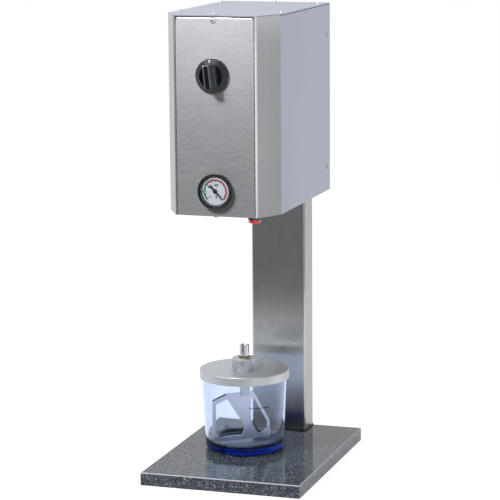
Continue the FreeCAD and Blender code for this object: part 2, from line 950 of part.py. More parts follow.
def button_body():
    block_bottom = floor_bottom + button_barrel_height
    half = button_block_side / 2
    barrel = rod(button_barrel_radius, button_barrel_height, button_point(floor_bottom))
    block = box(
        button_x - half, button_x + half, button_y - half, button_y + half, block_bottom,
        block_bottom + button_block_height,
    )
    depth = button_stem_rise + button_travel
    bore = rod(button_stem_radius + running_gap, depth, button_point(floor_bottom))
    lock = nut(2 * button_barrel_radius + 4, 3, button_barrel_radius, button_point(floor_top), UP)
    return barrel.fuse(block).fuse(lock).removeSplitter().cut(bore)


def dock_bolt_places():
    return [polar(dock_bolt_circle, 360 / dock_bolt_count * (k + 0.5)) for k in range(dock_bolt_count)]


def dock_ring():
    body = ring(dock_radius, dock_recess_radius, dock_drop, on_axis(dock_bottom))
    groove = ring(
        dock_gasket_outer, dock_gasket_inner, dock_gasket_thick - dock_gasket_proud,
        on_axis(dock_bottom),
    )
    body = body.cut(groove)
    recess = dock_bolt_head_height + head_recess_extra
    for x, y in dock_bolt_places():
        body = body.cut(
            rod(dock_bolt_head_radius + bolt_clearance, recess, on_axis(dock_bottom, x, y))
        )
        body = body.cut(
            rod(dock_bolt_radius + bolt_clearance, dock_drop, on_axis(dock_bottom, x, y))
        )
    return body


def dock_gasket():
    return ring(dock_gasket_outer, dock_gasket_inner, dock_gasket_thick, on_axis(gasket_face))


def dock_screws():
    seat = dock_bottom + dock_bolt_head_height + head_recess_extra
    return [
        pan_screw(
            on_axis(seat, x, y), UP, dock_bolt_radius, dock_bolt_head_radius,
            dock_bolt_head_height, dock_bolt_length,
        )
        for x, y in dock_bolt_places()
    ]


def bearing_housing():
    bore = socket_radius + socket_running_gap
    flange_top = floor_top + housing_flange_thick
    body = turned(
        [
            (bearing_radius, floor_top), (housing_flange_radius, floor_top),
            (housing_flange_radius, flange_top), (housing_tube_radius, flange_top),
            (housing_tube_radius, housing_top), (bearing_radius, housing_top),
            (bearing_radius, lower_bearing), (bore, lower_bearing),
            (bore, floor_top + seal_thick), (bearing_radius, floor_top + seal_thick),
        ],
        on_axis(0),
    )
    seat = dock_bottom + dock_bolt_head_height + head_recess_extra
    depth = seat + dock_bolt_length - floor_top
    for x, y in dock_bolt_places():
        body = body.cut(rod(dock_bolt_radius, depth, on_axis(floor_top, x, y)))
    return body


def spindle_seal():
    return ring(bearing_radius, socket_radius + running_gap, seal_thick, on_axis(floor_top))


def spindle_bearings():
    upper = housing_top - bearing_width
    return [
        ring(bearing_radius, spindle_radius + bearing_play, bearing_width, on_axis(z))
        for z in (lower_bearing, upper)
    ]


def spindle():
    return rod(spindle_radius, spindle_top - spindle_foot, on_axis(spindle_foot))


def drive_socket():
    body = rod(socket_radius, socket_top - socket_bottom, on_axis(socket_bottom))
    body = body.cut(rod(socket_bore_radius, socket_bore_depth, on_axis(socket_bottom)))
    body = body.cut(rod(spindle_radius, spindle_in_socket, on_axis(spindle_foot)))
    pin = rod(
        drive_pin_radius, 2 * socket_radius,
        on_axis(socket_bottom + drive_pin_rise, -socket_radius), RIGHT,
    )
    return body.cut(pin)


def drive_pin():
    pin = rod(
        drive_pin_radius, 2 * socket_radius,
        on_axis(socket_bottom + drive_pin_rise, -socket_radius), RIGHT,
    )
    trim = rod(socket_radius, 4 * drive_pin_radius + drive_pin_rise, on_axis(socket_bottom))
    return pin.common(trim)


def shaft_coupling():
    bottom = spindle_top - coupling_length / 2
    body = rod(coupling_radius, coupling_length, on_axis(bottom))
    body = body.cut(rod(spindle_radius, coupling_length / 2, on_axis(bottom)))
    top_bore = rod(
        motor_shaft_radius, coupling_length / 2 - coupling_gap, on_axis(spindle_top + coupling_gap)
    )
    return body.cut(top_bore)


def motor_post_places():
    return grid(motor_post_spacing, motor_post_spacing)


def motor_posts():
    height = motor_plate_bottom - floor_top
    posts = []
    for x, y in motor_post_places():
        post = rod(motor_post_radius, height, on_axis(floor_top, x, y))
        depth = post_screw_length
        post = post.cut(rod(post_screw_radius, depth, on_axis(floor_top, x, y)))
        post = post.cut(rod(post_screw_radius, depth, on_axis(motor_plate_bottom - depth, x, y)))
        posts.append(post)
    return posts


def motor_plate():
    half = motor_plate_side / 2
    solid = box(
        axis_x - half, axis_x + half, axis_y - half, axis_y + half, motor_plate_bottom, motor_foot
    )
    solid = solid.cut(
        rod(motor_shaft_radius + running_gap, motor_plate_thick, on_axis(motor_plate_bottom))
    )
    for x, y in motor_post_places():
        hole = rod(
            post_screw_radius + bolt_clearance, motor_plate_thick, on_axis(motor_plate_bottom, x, y)
        )
        solid = solid.cut(hole)
    return solid


def post_screws():
    screws = []
    for x, y in motor_post_places():
        for seat, direction, through in (
            (floor_bottom, UP, floor_thick), (motor_foot, DOWN, motor_plate_thick)
        ):
            screws.append(
                pan_screw(
                    on_axis(seat, x, y), direction, post_screw_radius, post_screw_head_radius,
                    post_screw_head_height, through + post_screw_length - 2,
                )
            )
    return screws


def motor_can():
    outer = rod(motor_radius, motor_height, on_axis(motor_foot))
    inner = rod(motor_radius - motor_wall, motor_height - motor_wall, on_axis(motor_foot))
    return outer.cut(inner)


stator_bottom = motor_foot + stator_rise


def motor_stator():
    return ring(
        motor_radius - motor_wall, stator_radius, stator_height, on_axis(stator_bottom)
    )


def motor_rotor():
    shaft_bottom = spindle_top + coupling_gap
    shaft_end = stator_bottom + stator_height + rotor_tail
    shaft = rod(motor_shaft_radius, shaft_end - shaft_bottom, on_axis(shaft_bottom))
    middle = stator_bottom + stator_height / 2
    core = rod(rotor_radius, rotor_height, on_axis(middle - rotor_height / 2))
    return shaft.fuse(core).removeSplitter()


def ejector_block():
    x0, y0 = ejector_x - ejector_size_x / 2, ejector_y - ejector_size_y / 2
    top = floor_top + ejector_size_z
    block = box(x0, x0 + ejector_size_x, y0, y0 + ejector_size_y, floor_top, top)
    coil = box(
        x0 + valve_inset, x0 + ejector_size_x - valve_inset, y0 + valve_inset,
        y0 + valve_inset + valve_length, top, top + valve_height,
    )
    port = rod(hose_radius, ejector_size_z / 2, V(ejector_x, y0, floor_top + ejector_size_z / 2), BACK)
    return [block.cut(port), coil]


def standoff_places():
    middle = head_floor + board_rise + board_height / 2
    wide, tall = board_width - 2 * standoff_inset, board_height - 2 * standoff_inset
    return [(x, middle + z) for x, z in grid(wide, tall)]


def control_board():
    front = mount_plate_front - standoff_length - board_thick
    bottom = head_floor + board_rise
    board = box(
        -board_width / 2, board_width / 2, front, front + board_thick, bottom,
        bottom + board_height,
    )
    for x, z in standoff_places():
        board = board.cut(rod(screw_radius, board_thick, V(x, front, z), BACK))
    return board


def board_standoffs():
    front = mount_plate_front - standoff_length
    pieces = []
    for x, z in standoff_places():
        spacer = rod(standoff_radius, standoff_length, V(x, front, z), BACK)
        stud = rod(screw_radius, mount_plate_thick, V(x, mount_plate_front, z), BACK)
        nib = rod(screw_radius, board_thick + 1, V(x, front - board_thick - 1, z), BACK)
        pieces.append(spacer.fuse(stud).fuse(nib).removeSplitter())
    return pieces


def rear_fitting(rise, radius, reach, bore):
    """A screwed fitting through the rear panel, with its nut on the inside."""
    seat = V(fitting_x, column_front, head_floor + rise)
    neck = sheet + fitting_nut_thick
    body = rod(radius, reach, seat, BACK).fuse(rod(fitting_thread_radius, neck, seat, FRONT))
    body = body.fuse(
        nut(2 * radius, fitting_nut_thick / 2, bore, along(seat, FRONT, neck), BACK)
    )
    whole = along(seat, BACK, reach)
    return body.removeSplitter().cut(rod(bore, reach + neck, whole, FRONT))


def air_fitting():
    return rear_fitting(air_fitting_rise, air_fitting_radius, air_fitting_reach, air_tube_radius)


def cord_gland():
    return rear_fitting(cord_gland_rise, cord_gland_radius, cord_gland_reach, cord_hole_radius)


def hose_route(points, radius, bend):
    """A round hose along straight runs joined by tangent arcs."""
    edges = []
    start = points[0]
    for before, corner, after in zip(points, points[1:], points[2:]):
        a = (before - corner).normalize()
        b = (after - corner).normalize()
        half_turn = a.getAngle(b) / 2
        reach = bend / math.tan(half_turn)
        first, last = corner + a * reach, corner + b * reach
        bisector = (a + b).normalize()
        centre = corner + bisector * (bend / math.sin(half_turn))
        middle = centre - bisector * bend
        edges.append(Part.LineSegment(start, first).toShape())
        edges.append(Part.Arc(first, middle, last).toShape())
        start = last
    edges.append(Part.LineSegment(start, points[-1]).toShape())
    path = Part.Wire(edges)
    tangent = (points[1] - points[0]).normalize()
    section = Part.Wire([Part.makeCircle(radius, points[0], tangent)])
    return path.makePipeShell([section], True, False)


def gauge_hose():
    """From the gauge's stem down to the front port of the vacuum block."""
    stem_end = gauge_point(case_back + gauge_stem_length)
    port_y = ejector_y - ejector_size_y / 2
    port = V(ejector_x, port_y, floor_top + ejector_size_z / 2)
    turn_y = stem_end.y + hose_stem_run
    return hose_route(
        [stem_end, V(gauge_x, turn_y, gauge_height), V(ejector_x, turn_y, port.z), port],
        hose_radius,
        hose_bend,
    )


def bowl():
    floor = bowl_bottom + bowl_floor
    recess = bowl_foot_radius - bowl_foot_ring
    edge = bowl_bottom + bowl_edge_height
    inner_edge = bowl_edge_radius - bowl_wall
    profile = [
        (0, bowl_bottom + bowl_foot_recess), (recess, bowl_bottom + bowl_foot_recess),
        (recess, bowl_bottom), (bowl_foot_radius, bowl_bottom), (bowl_edge_radius, edge),
        (bowl_rim_radius, bowl_top), (bowl_rim_radius - bowl_wall, bowl_top),
        (inner_edge, floor), (0, floor),
    ]
    body = turned(profile, on_axis(0))
    outer = [
        e for e in body.Edges
        if abs(e.BoundBox.ZMin - edge) < tolerance and abs(e.BoundBox.ZMax - edge) < tolerance
    ]
    body = body.makeFillet(bowl_edge_round, outer)
    corner = [
        e for e in body.Edges
        if abs(e.BoundBox.ZMin - floor) < tolerance and abs(e.BoundBox.ZMax - floor) < tolerance
        and e.BoundBox.XLength > inner_edge
    ]
    return body.makeFillet(bowl_inside_round, corner)


def lid():
    skirt_bottom = lid_top - lid_skirt
    skirt_inside = bowl_rim_radius + lid_skirt_gap
    bush_radius = shaft_radius + bush_wall
    under = lid_under - lid_under_hub
    profile = [
        (bush_radius, under), (lid_under_hub_radius, under), (lid_under_hub_radius, lid_under),
        (skirt_inside, lid_under), (skirt_inside, skirt_bottom), (lid_radius, skirt_bottom),
        (lid_radius, lid_top), (lid_hub_radius, lid_top), (lid_hub_radius, hub_top),
        (bush_radius, hub_top),
    ]
    body = turned(profile, on_axis(0))

    def top_edge(edge):
        box_of = edge.BoundBox
        at_rim = abs(box_of.ZMin - lid_top) < tolerance and box_of.XLength > 2 * lid_radius - 1
        at_hub = abs(box_of.ZMin - hub_top) < tolerance and box_of.XLength > 2 * lid_hub_radius - 1
        return at_rim or at_hub

    body = filleted(body, lid_edge_round, top_edge)
    x, y = polar(vent_reach, vent_angle)
    return body.cut(rod(vent_radius, lid_plate, on_axis(lid_under, x, y)))


def lid_seal():
    outer = bowl_rim_radius + lid_skirt_gap / 2
    return ring(outer, bowl_rim_radius - bowl_wall - 1, lid_seal_thick, on_axis(bowl_top))


def shaft_bush():
    bottom = lid_under - lid_under_hub
    return ring(
        shaft_radius + bush_wall, shaft_radius + running_gap, hub_top + bush_proud - bottom,
        on_axis(bottom),
    )


def fork_cutter(height):
    """The cross-shaped slot in the top of the mixer's shaft."""
    half = fork_slot / 2
    reach = shaft_radius + 1
    cutters = box(-reach, reach, -half, half, height - fork_depth, height).fuse(
        box(-half, half, -reach, reach, height - fork_depth, height)
    )
    cutters.translate(on_axis(0))
    return cutters


def mixer_shaft():
    body = rod(shaft_radius, shaft_top - shaft_foot_height, on_axis(shaft_foot_height))
    body = filleted(body, shaft_end_round, lambda e: e.BoundBox.ZMin > shaft_top - tolerance)
    body = body.cut(fork_cutter(shaft_top))
    return body.cut(paddle_blank())


def shaft_ring():
    bottom = hub_top + bush_proud + shaft_ring_gap
    return ring(shaft_ring_radius, shaft_radius, shaft_ring_thick, on_axis(bottom))


def rounded_plate(points, corner):
    """An upright plate with rounded corners, from distance and height points about the axis."""
    half = paddle_thick / 2
    face = outline_face([(s, -half, z) for s, z in points])
    solid = face.extrude(V(0, paddle_thick, 0))
    edges = [e for e in solid.Edges if e.BoundBox.YLength > paddle_thick / 2]
    return solid.makeFillet(corner, edges)


def paddle_outline():
    return [
        (-paddle_top_left, paddle_top), (paddle_top_right, paddle_top),
        (paddle_right, paddle_elbow), (paddle_right, paddle_bottom),
        (-paddle_left, paddle_bottom), (-paddle_left, paddle_shoulder),
    ]


def place_paddle(solid):
    solid.rotate(V(0, 0, 0), UP, paddle_angle)
    solid.translate(on_axis(0))
    return solid


def paddle_blank():
    """The plate before its windows are cut, which is also the shape of the shaft's slot."""
    half = paddle_thick / 2
    face = outline_face([(s, -half, z) for s, z in paddle_outline()])
    return place_paddle(face.extrude(V(0, paddle_thick, 0)))


def mixer_paddle():
    blank = rounded_plate(paddle_outline(), paddle_corner)
    left_window = [
        (-paddle_left + paddle_rim, 83.5), (-26.0, 89.7), (0.0, 48.4), (-4.5, 35.5),
        (-38.5, 35.5), (-paddle_left + paddle_rim, 43.0),
    ]
    right_window = [
        (9.4, 88.0), (13.8, 87.0), (33.1, 52.8), (32.9, 42.5), (24.1, 36.9),
        (19.0, 37.4), (9.2, 52.9),
    ]
    for window in (left_window, right_window):
        cutter = rounded_plate(window, window_corner)
        blank = blank.cut(cutter)
    return place_paddle(blank)


def save(name, shape):
    """Write one sub-part, a single solid or a group of separate ones."""
    if isinstance(shape, list):
        shape = Part.makeCompound(shape)
    shape.exportStep(os.path.join("parts", name + ".step"))


NODES = {
    "base_plate": base_plate,
    "column_tube": column_tube,
    "column_gasket": column_gasket,
    "column_foot_block": column_foot_block,
    "foot_bolts": foot_bolts,
    "column_cap": column_cap,
    "backing_plate": backing_plate,
    "head_bolts": head_bolts,
    "front_frame": front_frame,
    "side_panel_right": side_panel,
    "side_panel_left": lambda: mirrored(side_panel()),
    "rear_panel": rear_panel,
    "top_cover": top_cover,
    "bottom_plate": bottom_plate,
    "front_panel": front_panel,
    "case_screws": case_screws,
    "switch_knob": switch_knob,
    "switch_shaft": switch_shaft,
    "switch_body": switch_body,
    "switch_nut": switch_nut,
    "gauge_case": gauge_case,
    "gauge_bezel": gauge_bezel,
    "gauge_glass": gauge_glass,
    "gauge_inner_ring": gauge_inner_ring,
    "gauge_dial": gauge_dial,
    "gauge_pointer": gauge_pointer,
    "gauge_movement": gauge_movement,
    "gauge_clamp": gauge_clamp,
    "gauge_hose": gauge_hose,
    "button_collar": button_collar,
    "button_cap": button_cap,
    "button_body": button_body,
    "dock_ring": dock_ring,
    "dock_gasket": dock_gasket,
    "dock_screws": dock_screws,
    "bearing_housing": bearing_housing,
    "spindle_seal": spindle_seal,
    "spindle_bearings": spindle_bearings,
    "spindle": spindle,
    "drive_socket": drive_socket,
    "drive_pin": drive_pin,
    "shaft_coupling": shaft_coupling,
    "motor_posts": motor_posts,
    "motor_plate": motor_plate,
    "post_screws": post_screws,
    "motor_can": motor_can,
    "motor_stator": motor_stator,
    "motor_rotor": motor_rotor,
    "vacuum_block": ejector_block,
    "control_board": control_board,
    "board_standoffs": board_standoffs,
    "air_fitting": air_fitting,
    "cord_gland": cord_gland,
    "bowl": bowl,
    "lid": lid,
    "lid_seal": lid_seal,
    "shaft_bush": shaft_bush,
    "mixer_shaft": mixer_shaft,
    "shaft_ring": shaft_ring,
    "mixer_paddle": mixer_paddle,
}

os.makedirs("parts", exist_ok=True)
for node, make in NODES.items():
    save(node, make())
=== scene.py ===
import bpy
import json
from math import atan2, copysign, cos, degrees, hypot, radians, sin, tan
from mathutils import Matrix, Vector

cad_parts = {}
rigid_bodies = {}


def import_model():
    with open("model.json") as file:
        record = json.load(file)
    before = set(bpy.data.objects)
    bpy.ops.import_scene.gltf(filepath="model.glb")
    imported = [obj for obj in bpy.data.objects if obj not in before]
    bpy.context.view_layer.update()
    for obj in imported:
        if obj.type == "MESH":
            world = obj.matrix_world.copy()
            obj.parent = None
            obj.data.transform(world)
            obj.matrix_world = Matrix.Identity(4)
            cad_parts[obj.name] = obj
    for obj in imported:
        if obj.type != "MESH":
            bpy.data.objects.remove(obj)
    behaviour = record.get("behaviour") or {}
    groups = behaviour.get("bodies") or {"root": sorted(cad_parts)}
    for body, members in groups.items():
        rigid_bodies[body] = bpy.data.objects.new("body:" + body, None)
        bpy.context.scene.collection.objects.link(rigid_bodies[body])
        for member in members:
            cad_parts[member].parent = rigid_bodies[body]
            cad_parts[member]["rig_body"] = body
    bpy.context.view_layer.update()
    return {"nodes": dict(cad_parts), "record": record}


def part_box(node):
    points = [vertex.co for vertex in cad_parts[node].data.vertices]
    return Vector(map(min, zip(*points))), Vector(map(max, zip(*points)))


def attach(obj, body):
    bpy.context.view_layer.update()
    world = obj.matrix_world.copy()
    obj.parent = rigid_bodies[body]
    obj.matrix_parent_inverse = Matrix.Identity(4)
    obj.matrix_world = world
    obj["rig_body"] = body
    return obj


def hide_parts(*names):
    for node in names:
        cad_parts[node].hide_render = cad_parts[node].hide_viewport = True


# The looks of a benchtop vacuum mixer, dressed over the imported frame.
# Lengths are in metres; MM turns a size in millimetres into metres.

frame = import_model()
nodes = frame["nodes"]
scene = bpy.context.scene
MM = 0.001
WHITE = (1.0, 1.0, 1.0)


# Camera, at the photograph's place
CAMERA_PLACE = Vector((0.92139, -2.82623, 0.84157))
CAMERA_YAW, CAMERA_PITCH, CAMERA_ROLL = 18.14, 10.28, -0.44
CAMERA_LENS = 157.53
SENSOR = 36.0


def add_camera():
    yaw, pitch, roll = (radians(a) for a in (CAMERA_YAW, CAMERA_PITCH, CAMERA_ROLL))
    ahead = Vector(
        (-sin(yaw) * cos(pitch), cos(yaw) * cos(pitch), -sin(pitch))
    )
    level = Vector((cos(yaw), sin(yaw), 0))
    above = level.cross(ahead)
    right = level * cos(roll) + above * sin(roll)
    up = above * cos(roll) - level * sin(roll)
    data = bpy.data.cameras.new("camera")
    data.lens, data.sensor_width = CAMERA_LENS, SENSOR
    data.clip_start, data.clip_end = 0.05, 100.0
    camera = bpy.data.objects.new("camera", data)
    scene.collection.objects.link(camera)
    turn = Matrix((right, up, -ahead)).transposed().to_4x4()
    camera.matrix_world = Matrix.Translation(CAMERA_PLACE) @ turn
    scene.camera = camera


# Picking and placing


def pick(piece):
    """Make one object the only one selected, and the active one."""
    bpy.ops.object.select_all(action="DESELECT")
    piece.select_set(True)
    bpy.context.view_layer.objects.active = piece


def apply_place(piece):
    pick(piece)
    bpy.ops.object.transform_apply(location=True, rotation=True, scale=True)


def rotation(angle, about):
    """A turn of some degrees about one axis."""
    return Matrix.Rotation(radians(angle), 4, about)


def bevel(piece, width, segments=2, angle=30):
    """Break the edges that are sharper than an angle."""
    pick(piece)
    cut = piece.modifiers.new("edges", "BEVEL")
    cut.width, cut.segments = width, segments
    cut.limit_method, cut.angle_limit = "ANGLE", radians(angle)
    cut.use_clamp_overlap = True
    bpy.ops.object.modifier_apply(modifier=cut.name)


def smooth(piece, angle=35):
    """Smooth shading that leaves the large flat faces flat."""
    pick(piece)
    bpy.ops.object.shade_smooth_by_angle(angle=radians(angle))
    even = piece.modifiers.new("even", "WEIGHTED_NORMAL")
    even.keep_sharp = True
    bpy.ops.object.modifier_apply(modifier=even.name)


def block(size, middle=(0, 0, 0), turn=0.0):
    """A box of a size about its middle, turned about the upright axis."""
    bpy.ops.mesh.primitive_cube_add(size=1)
    piece = bpy.context.object
    piece.scale, piece.location, piece.rotation_euler = size, middle, (0, 0, turn)
    apply_place(piece)
    return piece


def join_all(pieces):
    bpy.ops.object.select_all(action="DESELECT")
    for piece in pieces:
        piece.select_set(True)
    bpy.context.view_layer.objects.active = pieces[0]
    bpy.ops.object.join()
    return bpy.context.object


def open_mesh(action="SELECT"):
    """Edit the active mesh, all of it selected unless the action says otherwise."""
    bpy.ops.object.mode_set(mode="EDIT")
    bpy.ops.mesh.select_all(action=action)


def close_mesh():
    bpy.ops.object.mode_set(mode="OBJECT")


def choose_nothing(piece):
    """Clear the mesh's own selection, so that edges or faces can be chosen by place."""
    pick(piece)
    open_mesh("DESELECT")
    close_mesh()


def bevel_chosen(piece, chosen, width, segments):
    """Bevel the edges whose two ends pass a test of their places."""
    choose_nothing(piece)
    points = [v.co for v in piece.data.vertices]
    for edge in piece.data.edges:
        edge.select = chosen(*(points[i] for i in edge.vertices))
    bpy.ops.object.mode_set(mode="EDIT")
    bpy.ops.mesh.select_mode(type="EDGE")
    bpy.ops.mesh.bevel(offset=width, segments=segments)
    bpy.ops.mesh.select_mode(type="VERT")
    close_mesh()


def finish_piece(piece, name, body, finish):
    piece.name = piece.data.name = name
    piece.data.materials.clear()
    piece.data.materials.append(FINISHES[finish])
    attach(piece, body)


def body_of(node):
    return nodes[node]["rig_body"]


def clean_copy(node):
    """A copy of a CAD node with its doubles merged and its flat faces whole."""
    piece = bpy.data.objects.new(node + "_finish", nodes[node].data.copy())
    scene.collection.objects.link(piece)
    pick(piece)
    open_mesh()
    bpy.ops.mesh.remove_doubles(threshold=1e-6)
    bpy.ops.mesh.dissolve_limited(angle_limit=radians(0.6))
    close_mesh()
    return piece


def show_instead(piece, node, finish):
    finish_piece(piece, node + "_finish", body_of(node), finish)
    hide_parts(node)


def dressed(node, finish, width, segments=2):
    """A clean copy of a CAD node with broken edges, shown in its place."""
    piece = clean_copy(node)
    if width:
        bevel(piece, width, segments)
    smooth(piece, 30)
    show_instead(piece, node, finish)
    return piece


def lathed(profile, centre, sides, turn=(0, 0, 0)):
    """A round piece: rings are extruded from a circle, one for each radius and height."""
    starts_on_axis, ends_on_axis = profile[0][0] == 0, profile[-1][0] == 0
    rings = profile[1:] if starts_on_axis else profile
    radius, height = rings[0]
    fill = "NGON" if starts_on_axis else "NOTHING"
    bpy.ops.mesh.primitive_circle_add(vertices=sides, radius=radius, fill_type=fill)
    piece = bpy.context.object
    piece.location = (0, 0, height)
    apply_place(piece)
    open_mesh()
    if starts_on_axis:
        bpy.ops.mesh.region_to_loop()
    for new_radius, new_height in rings[1:-1] if ends_on_axis else rings[1:]:
        rise = {"value": (0, 0, new_height - height)}
        bpy.ops.mesh.extrude_edges_move(TRANSFORM_OT_translate=rise)
        factor = new_radius / radius
        bpy.ops.transform.resize(value=(factor, factor, 1), center_override=(0, 0, new_height))
        radius, height = new_radius, new_height
    if ends_on_axis:
        bpy.ops.mesh.edge_face_add()
    elif not starts_on_axis:
        bpy.ops.mesh.select_all(action="DESELECT")
        bpy.ops.mesh.select_non_manifold()
        bpy.ops.mesh.bridge_edge_loops()
    bpy.ops.mesh.select_all(action="SELECT")
    bpy.ops.mesh.normals_make_consistent(inside=False)
    close_mesh()
    piece.rotation_euler = turn
    piece.location = centre
    apply_place(piece)
    return piece


FACING_UP = (0, 0, 0)
FACING_FRONT = (radians(90), 0, 0)
FACING_DOWN = (radians(180), 0, 0)
FACING_RIGHT = (0, radians(90), 0)
FACING_LEFT = (0, radians(-90), 0)


# Materials

# The dark and the light end of a noise pattern
PATTERN_DARK, PATTERN_LIGHT = 0.3, 0.7


class Finish:
    """A material under construction: its nodes, its links and its shader."""

    def __init__(self, name, colour, rough, metal=0.0):
        self.material = bpy.data.materials.new(name)
        self.material.use_nodes = True
        tree = self.material.node_tree
        self.nodes, self.links = tree.nodes, tree.links
        self.shader = self.nodes["Principled BSDF"]
        self.set("Base Color", (*colour, 1))
        self.set("Roughness", rough)
        self.set("Metallic", metal)

    def set(self, socket, value):
        self.shader.inputs[socket].default_value = value

    def add(self, kind, **settings):
        node = self.nodes.new("ShaderNode" + kind)
        for key, value in settings.items():
            setattr(node, key, value)
        return node

    def join(self, source, target):
        self.links.new(source, target)

    def place(self, scale=(1, 1, 1), location=(0, 0, 0)):
        """Object coordinates in metres, stretched by a scale and moved."""
        coordinates = self.add("TexCoord")
        mapping = self.add("Mapping")
        mapping.inputs["Scale"].default_value = scale
        mapping.inputs["Location"].default_value = location
        self.join(coordinates.outputs["Object"], mapping.inputs["Vector"])
        return mapping.outputs["Vector"]

    def noise(self, vector, scale, detail=3.0, roughness=0.6):
        node = self.add("TexNoise")
        node.inputs["Scale"].default_value = scale
        node.inputs["Detail"].default_value = detail
        node.inputs["Roughness"].default_value = roughness
        self.join(vector, node.inputs["Vector"])
        return node.outputs["Fac"]

    def ramp(self, value, stops):
        """Colours by value. Each stop is a place and a colour."""
        node = self.add("ValToRGB")
        points = node.color_ramp.elements
        while len(points) < len(stops):
            points.new(0.5)
        for point, (place, colour) in zip(points, stops):
            point.position, point.color = place, (*colour, 1)
        self.join(value, node.inputs["Fac"])
        return node.outputs["Color"]

    def spread(self, value, low, high):
        """A pattern's dark end becomes the low value, and its light end the high one."""
        node = self.add("MapRange")
        sockets = ("From Min", "From Max", "To Min", "To Max")
        for socket, number in zip(sockets, (PATTERN_DARK, PATTERN_LIGHT, low, high)):
            node.inputs[socket].default_value = number
        self.join(value, node.inputs["Value"])
        return node.outputs["Result"]

    def multiply(self, first, second):
        node = self.add("Mix", data_type="RGBA", blend_type="MULTIPLY")
        node.inputs[0].default_value = 1.0
        self.join(first, node.inputs[6])
        self.join(second, node.inputs[7])
        return node.outputs[2]

    def colour(self, value):
        self.join(value, self.shader.inputs["Base Color"])

    def tones(self, value, colour, dark, light):
        """Colours the surface by a pattern, from a darker to a lighter tone."""
        stops = [(PATTERN_DARK, tinted(colour, dark)), (PATTERN_LIGHT, tinted(colour, light))]
        self.colour(self.ramp(value, stops))

    def rough(self, value):
        self.join(value, self.shader.inputs["Roughness"])

    def relief(self, value, strength, depth):
        """Bump from a value; depth is in metres."""
        node = self.add("Bump")
        node.inputs["Strength"].default_value = strength
        node.inputs["Distance"].default_value = depth
        self.join(value, node.inputs["Height"])
        self.join(node.outputs["Normal"], self.shader.inputs["Normal"])


def tinted(colour, factor):
    return tuple(min(1.0, c * factor) for c in colour)


def brushed(name, colour, rough, grain, upright=True, contrast=0.08, bump=0.06, drawn=0.85):
    """Sheet with drawn lines, which spread a reflection across themselves."""
    finish = Finish(name, colour, rough, 1.0)
    lines = finish.noise(finish.place(grain), 1.0, 4.0, 0.65)
    clouds = finish.noise(finish.place(), 14.0, 2.0, 0.5)
    dark, light = tinted(colour, 1 - contrast), tinted(colour, 1 + contrast)
    tone = finish.ramp(lines, [(PATTERN_DARK, dark), (0.5, colour), (PATTERN_LIGHT, light)])
    cloud = finish.ramp(clouds, [(PATTERN_DARK, (0.94, 0.94, 0.95)), (PATTERN_LIGHT, WHITE)])
    finish.colour(finish.multiply(tone, cloud))
    finish.rough(finish.spread(lines, rough - 0.015, rough + 0.02))
    finish.relief(lines, bump, 0.05 * MM)
    finish.set("Anisotropic", drawn)
    across = finish.add("VectorMath", operation="CROSS_PRODUCT")
    across.inputs[1].default_value = (0, 0, 1)
    surface = finish.add("NewGeometry")
    finish.join(surface.outputs["Normal"], across.inputs[0])
    tangent = across.outputs["Vector"]
    if not upright:
        steep = finish.add("VectorMath", operation="CROSS_PRODUCT")
        finish.join(surface.outputs["Normal"], steep.inputs[0])
        finish.join(tangent, steep.inputs[1])
        tangent = steep.outputs["Vector"]
    finish.join(tangent, finish.shader.inputs["Tangent"])
    return finish.material


def satin(name, colour, rough, metal=1.0):
    """Evenly finished metal with a fine grain and faint smudges."""
    finish = Finish(name, colour, rough, metal)
    grain = finish.noise(finish.place(), 1800.0, 3.0, 0.7)
    smudge = finish.noise(finish.place(), 9.0, 3.0, 0.5)
    finish.tones(smudge, colour, 0.97, 1.03)
    finish.rough(finish.spread(smudge, rough - 0.03, rough + 0.05))
    finish.relief(grain, 0.06, 0.04 * MM)
    return finish.material


def turned_metal(name, colour, rough, centre):
    """Lathe-turned metal: fine rings about an upright axis."""
    finish = Finish(name, colour, rough, 1.0)
    local = finish.place(location=(-centre[0], -centre[1], 0))
    flat = finish.add("VectorMath", operation="MULTIPLY")
    flat.inputs[1].default_value = (1, 1, 0)
    finish.join(local, flat.inputs[0])
    length = finish.add("VectorMath", operation="LENGTH")
    finish.join(flat.outputs["Vector"], length.inputs[0])
    parts = finish.add("SeparateXYZ")
    finish.join(local, parts.inputs[0])
    rings = finish.add("CombineXYZ")
    finish.join(length.outputs["Value"], rings.inputs["X"])
    finish.join(parts.outputs["Z"], rings.inputs["Z"])
    lines = finish.noise(rings.outputs["Vector"], 2200.0)
    finish.tones(lines, colour, 0.93, 1.07)
    finish.rough(finish.spread(lines, rough - 0.05, rough + 0.06))
    finish.relief(lines, 0.12, 0.05 * MM)
    return finish.material


def plastic(name, colour, rough, texture=900.0, bump=0.12, coat=0.0, shine=0.5):
    """Moulded plastic or rubber with a fine skin texture."""
    finish = Finish(name, colour, rough)
    skin = finish.noise(finish.place(), texture)
    wear = finish.noise(finish.place(), 60.0, 3.0, 0.5)
    finish.tones(wear, colour, 0.9, 1.15)
    finish.rough(finish.spread(wear, rough - 0.04, rough + 0.06))
    finish.relief(skin, bump, 0.05 * MM)
    finish.set("Coat Weight", coat)
    finish.set("Specular IOR Level", shine)
    return finish.material


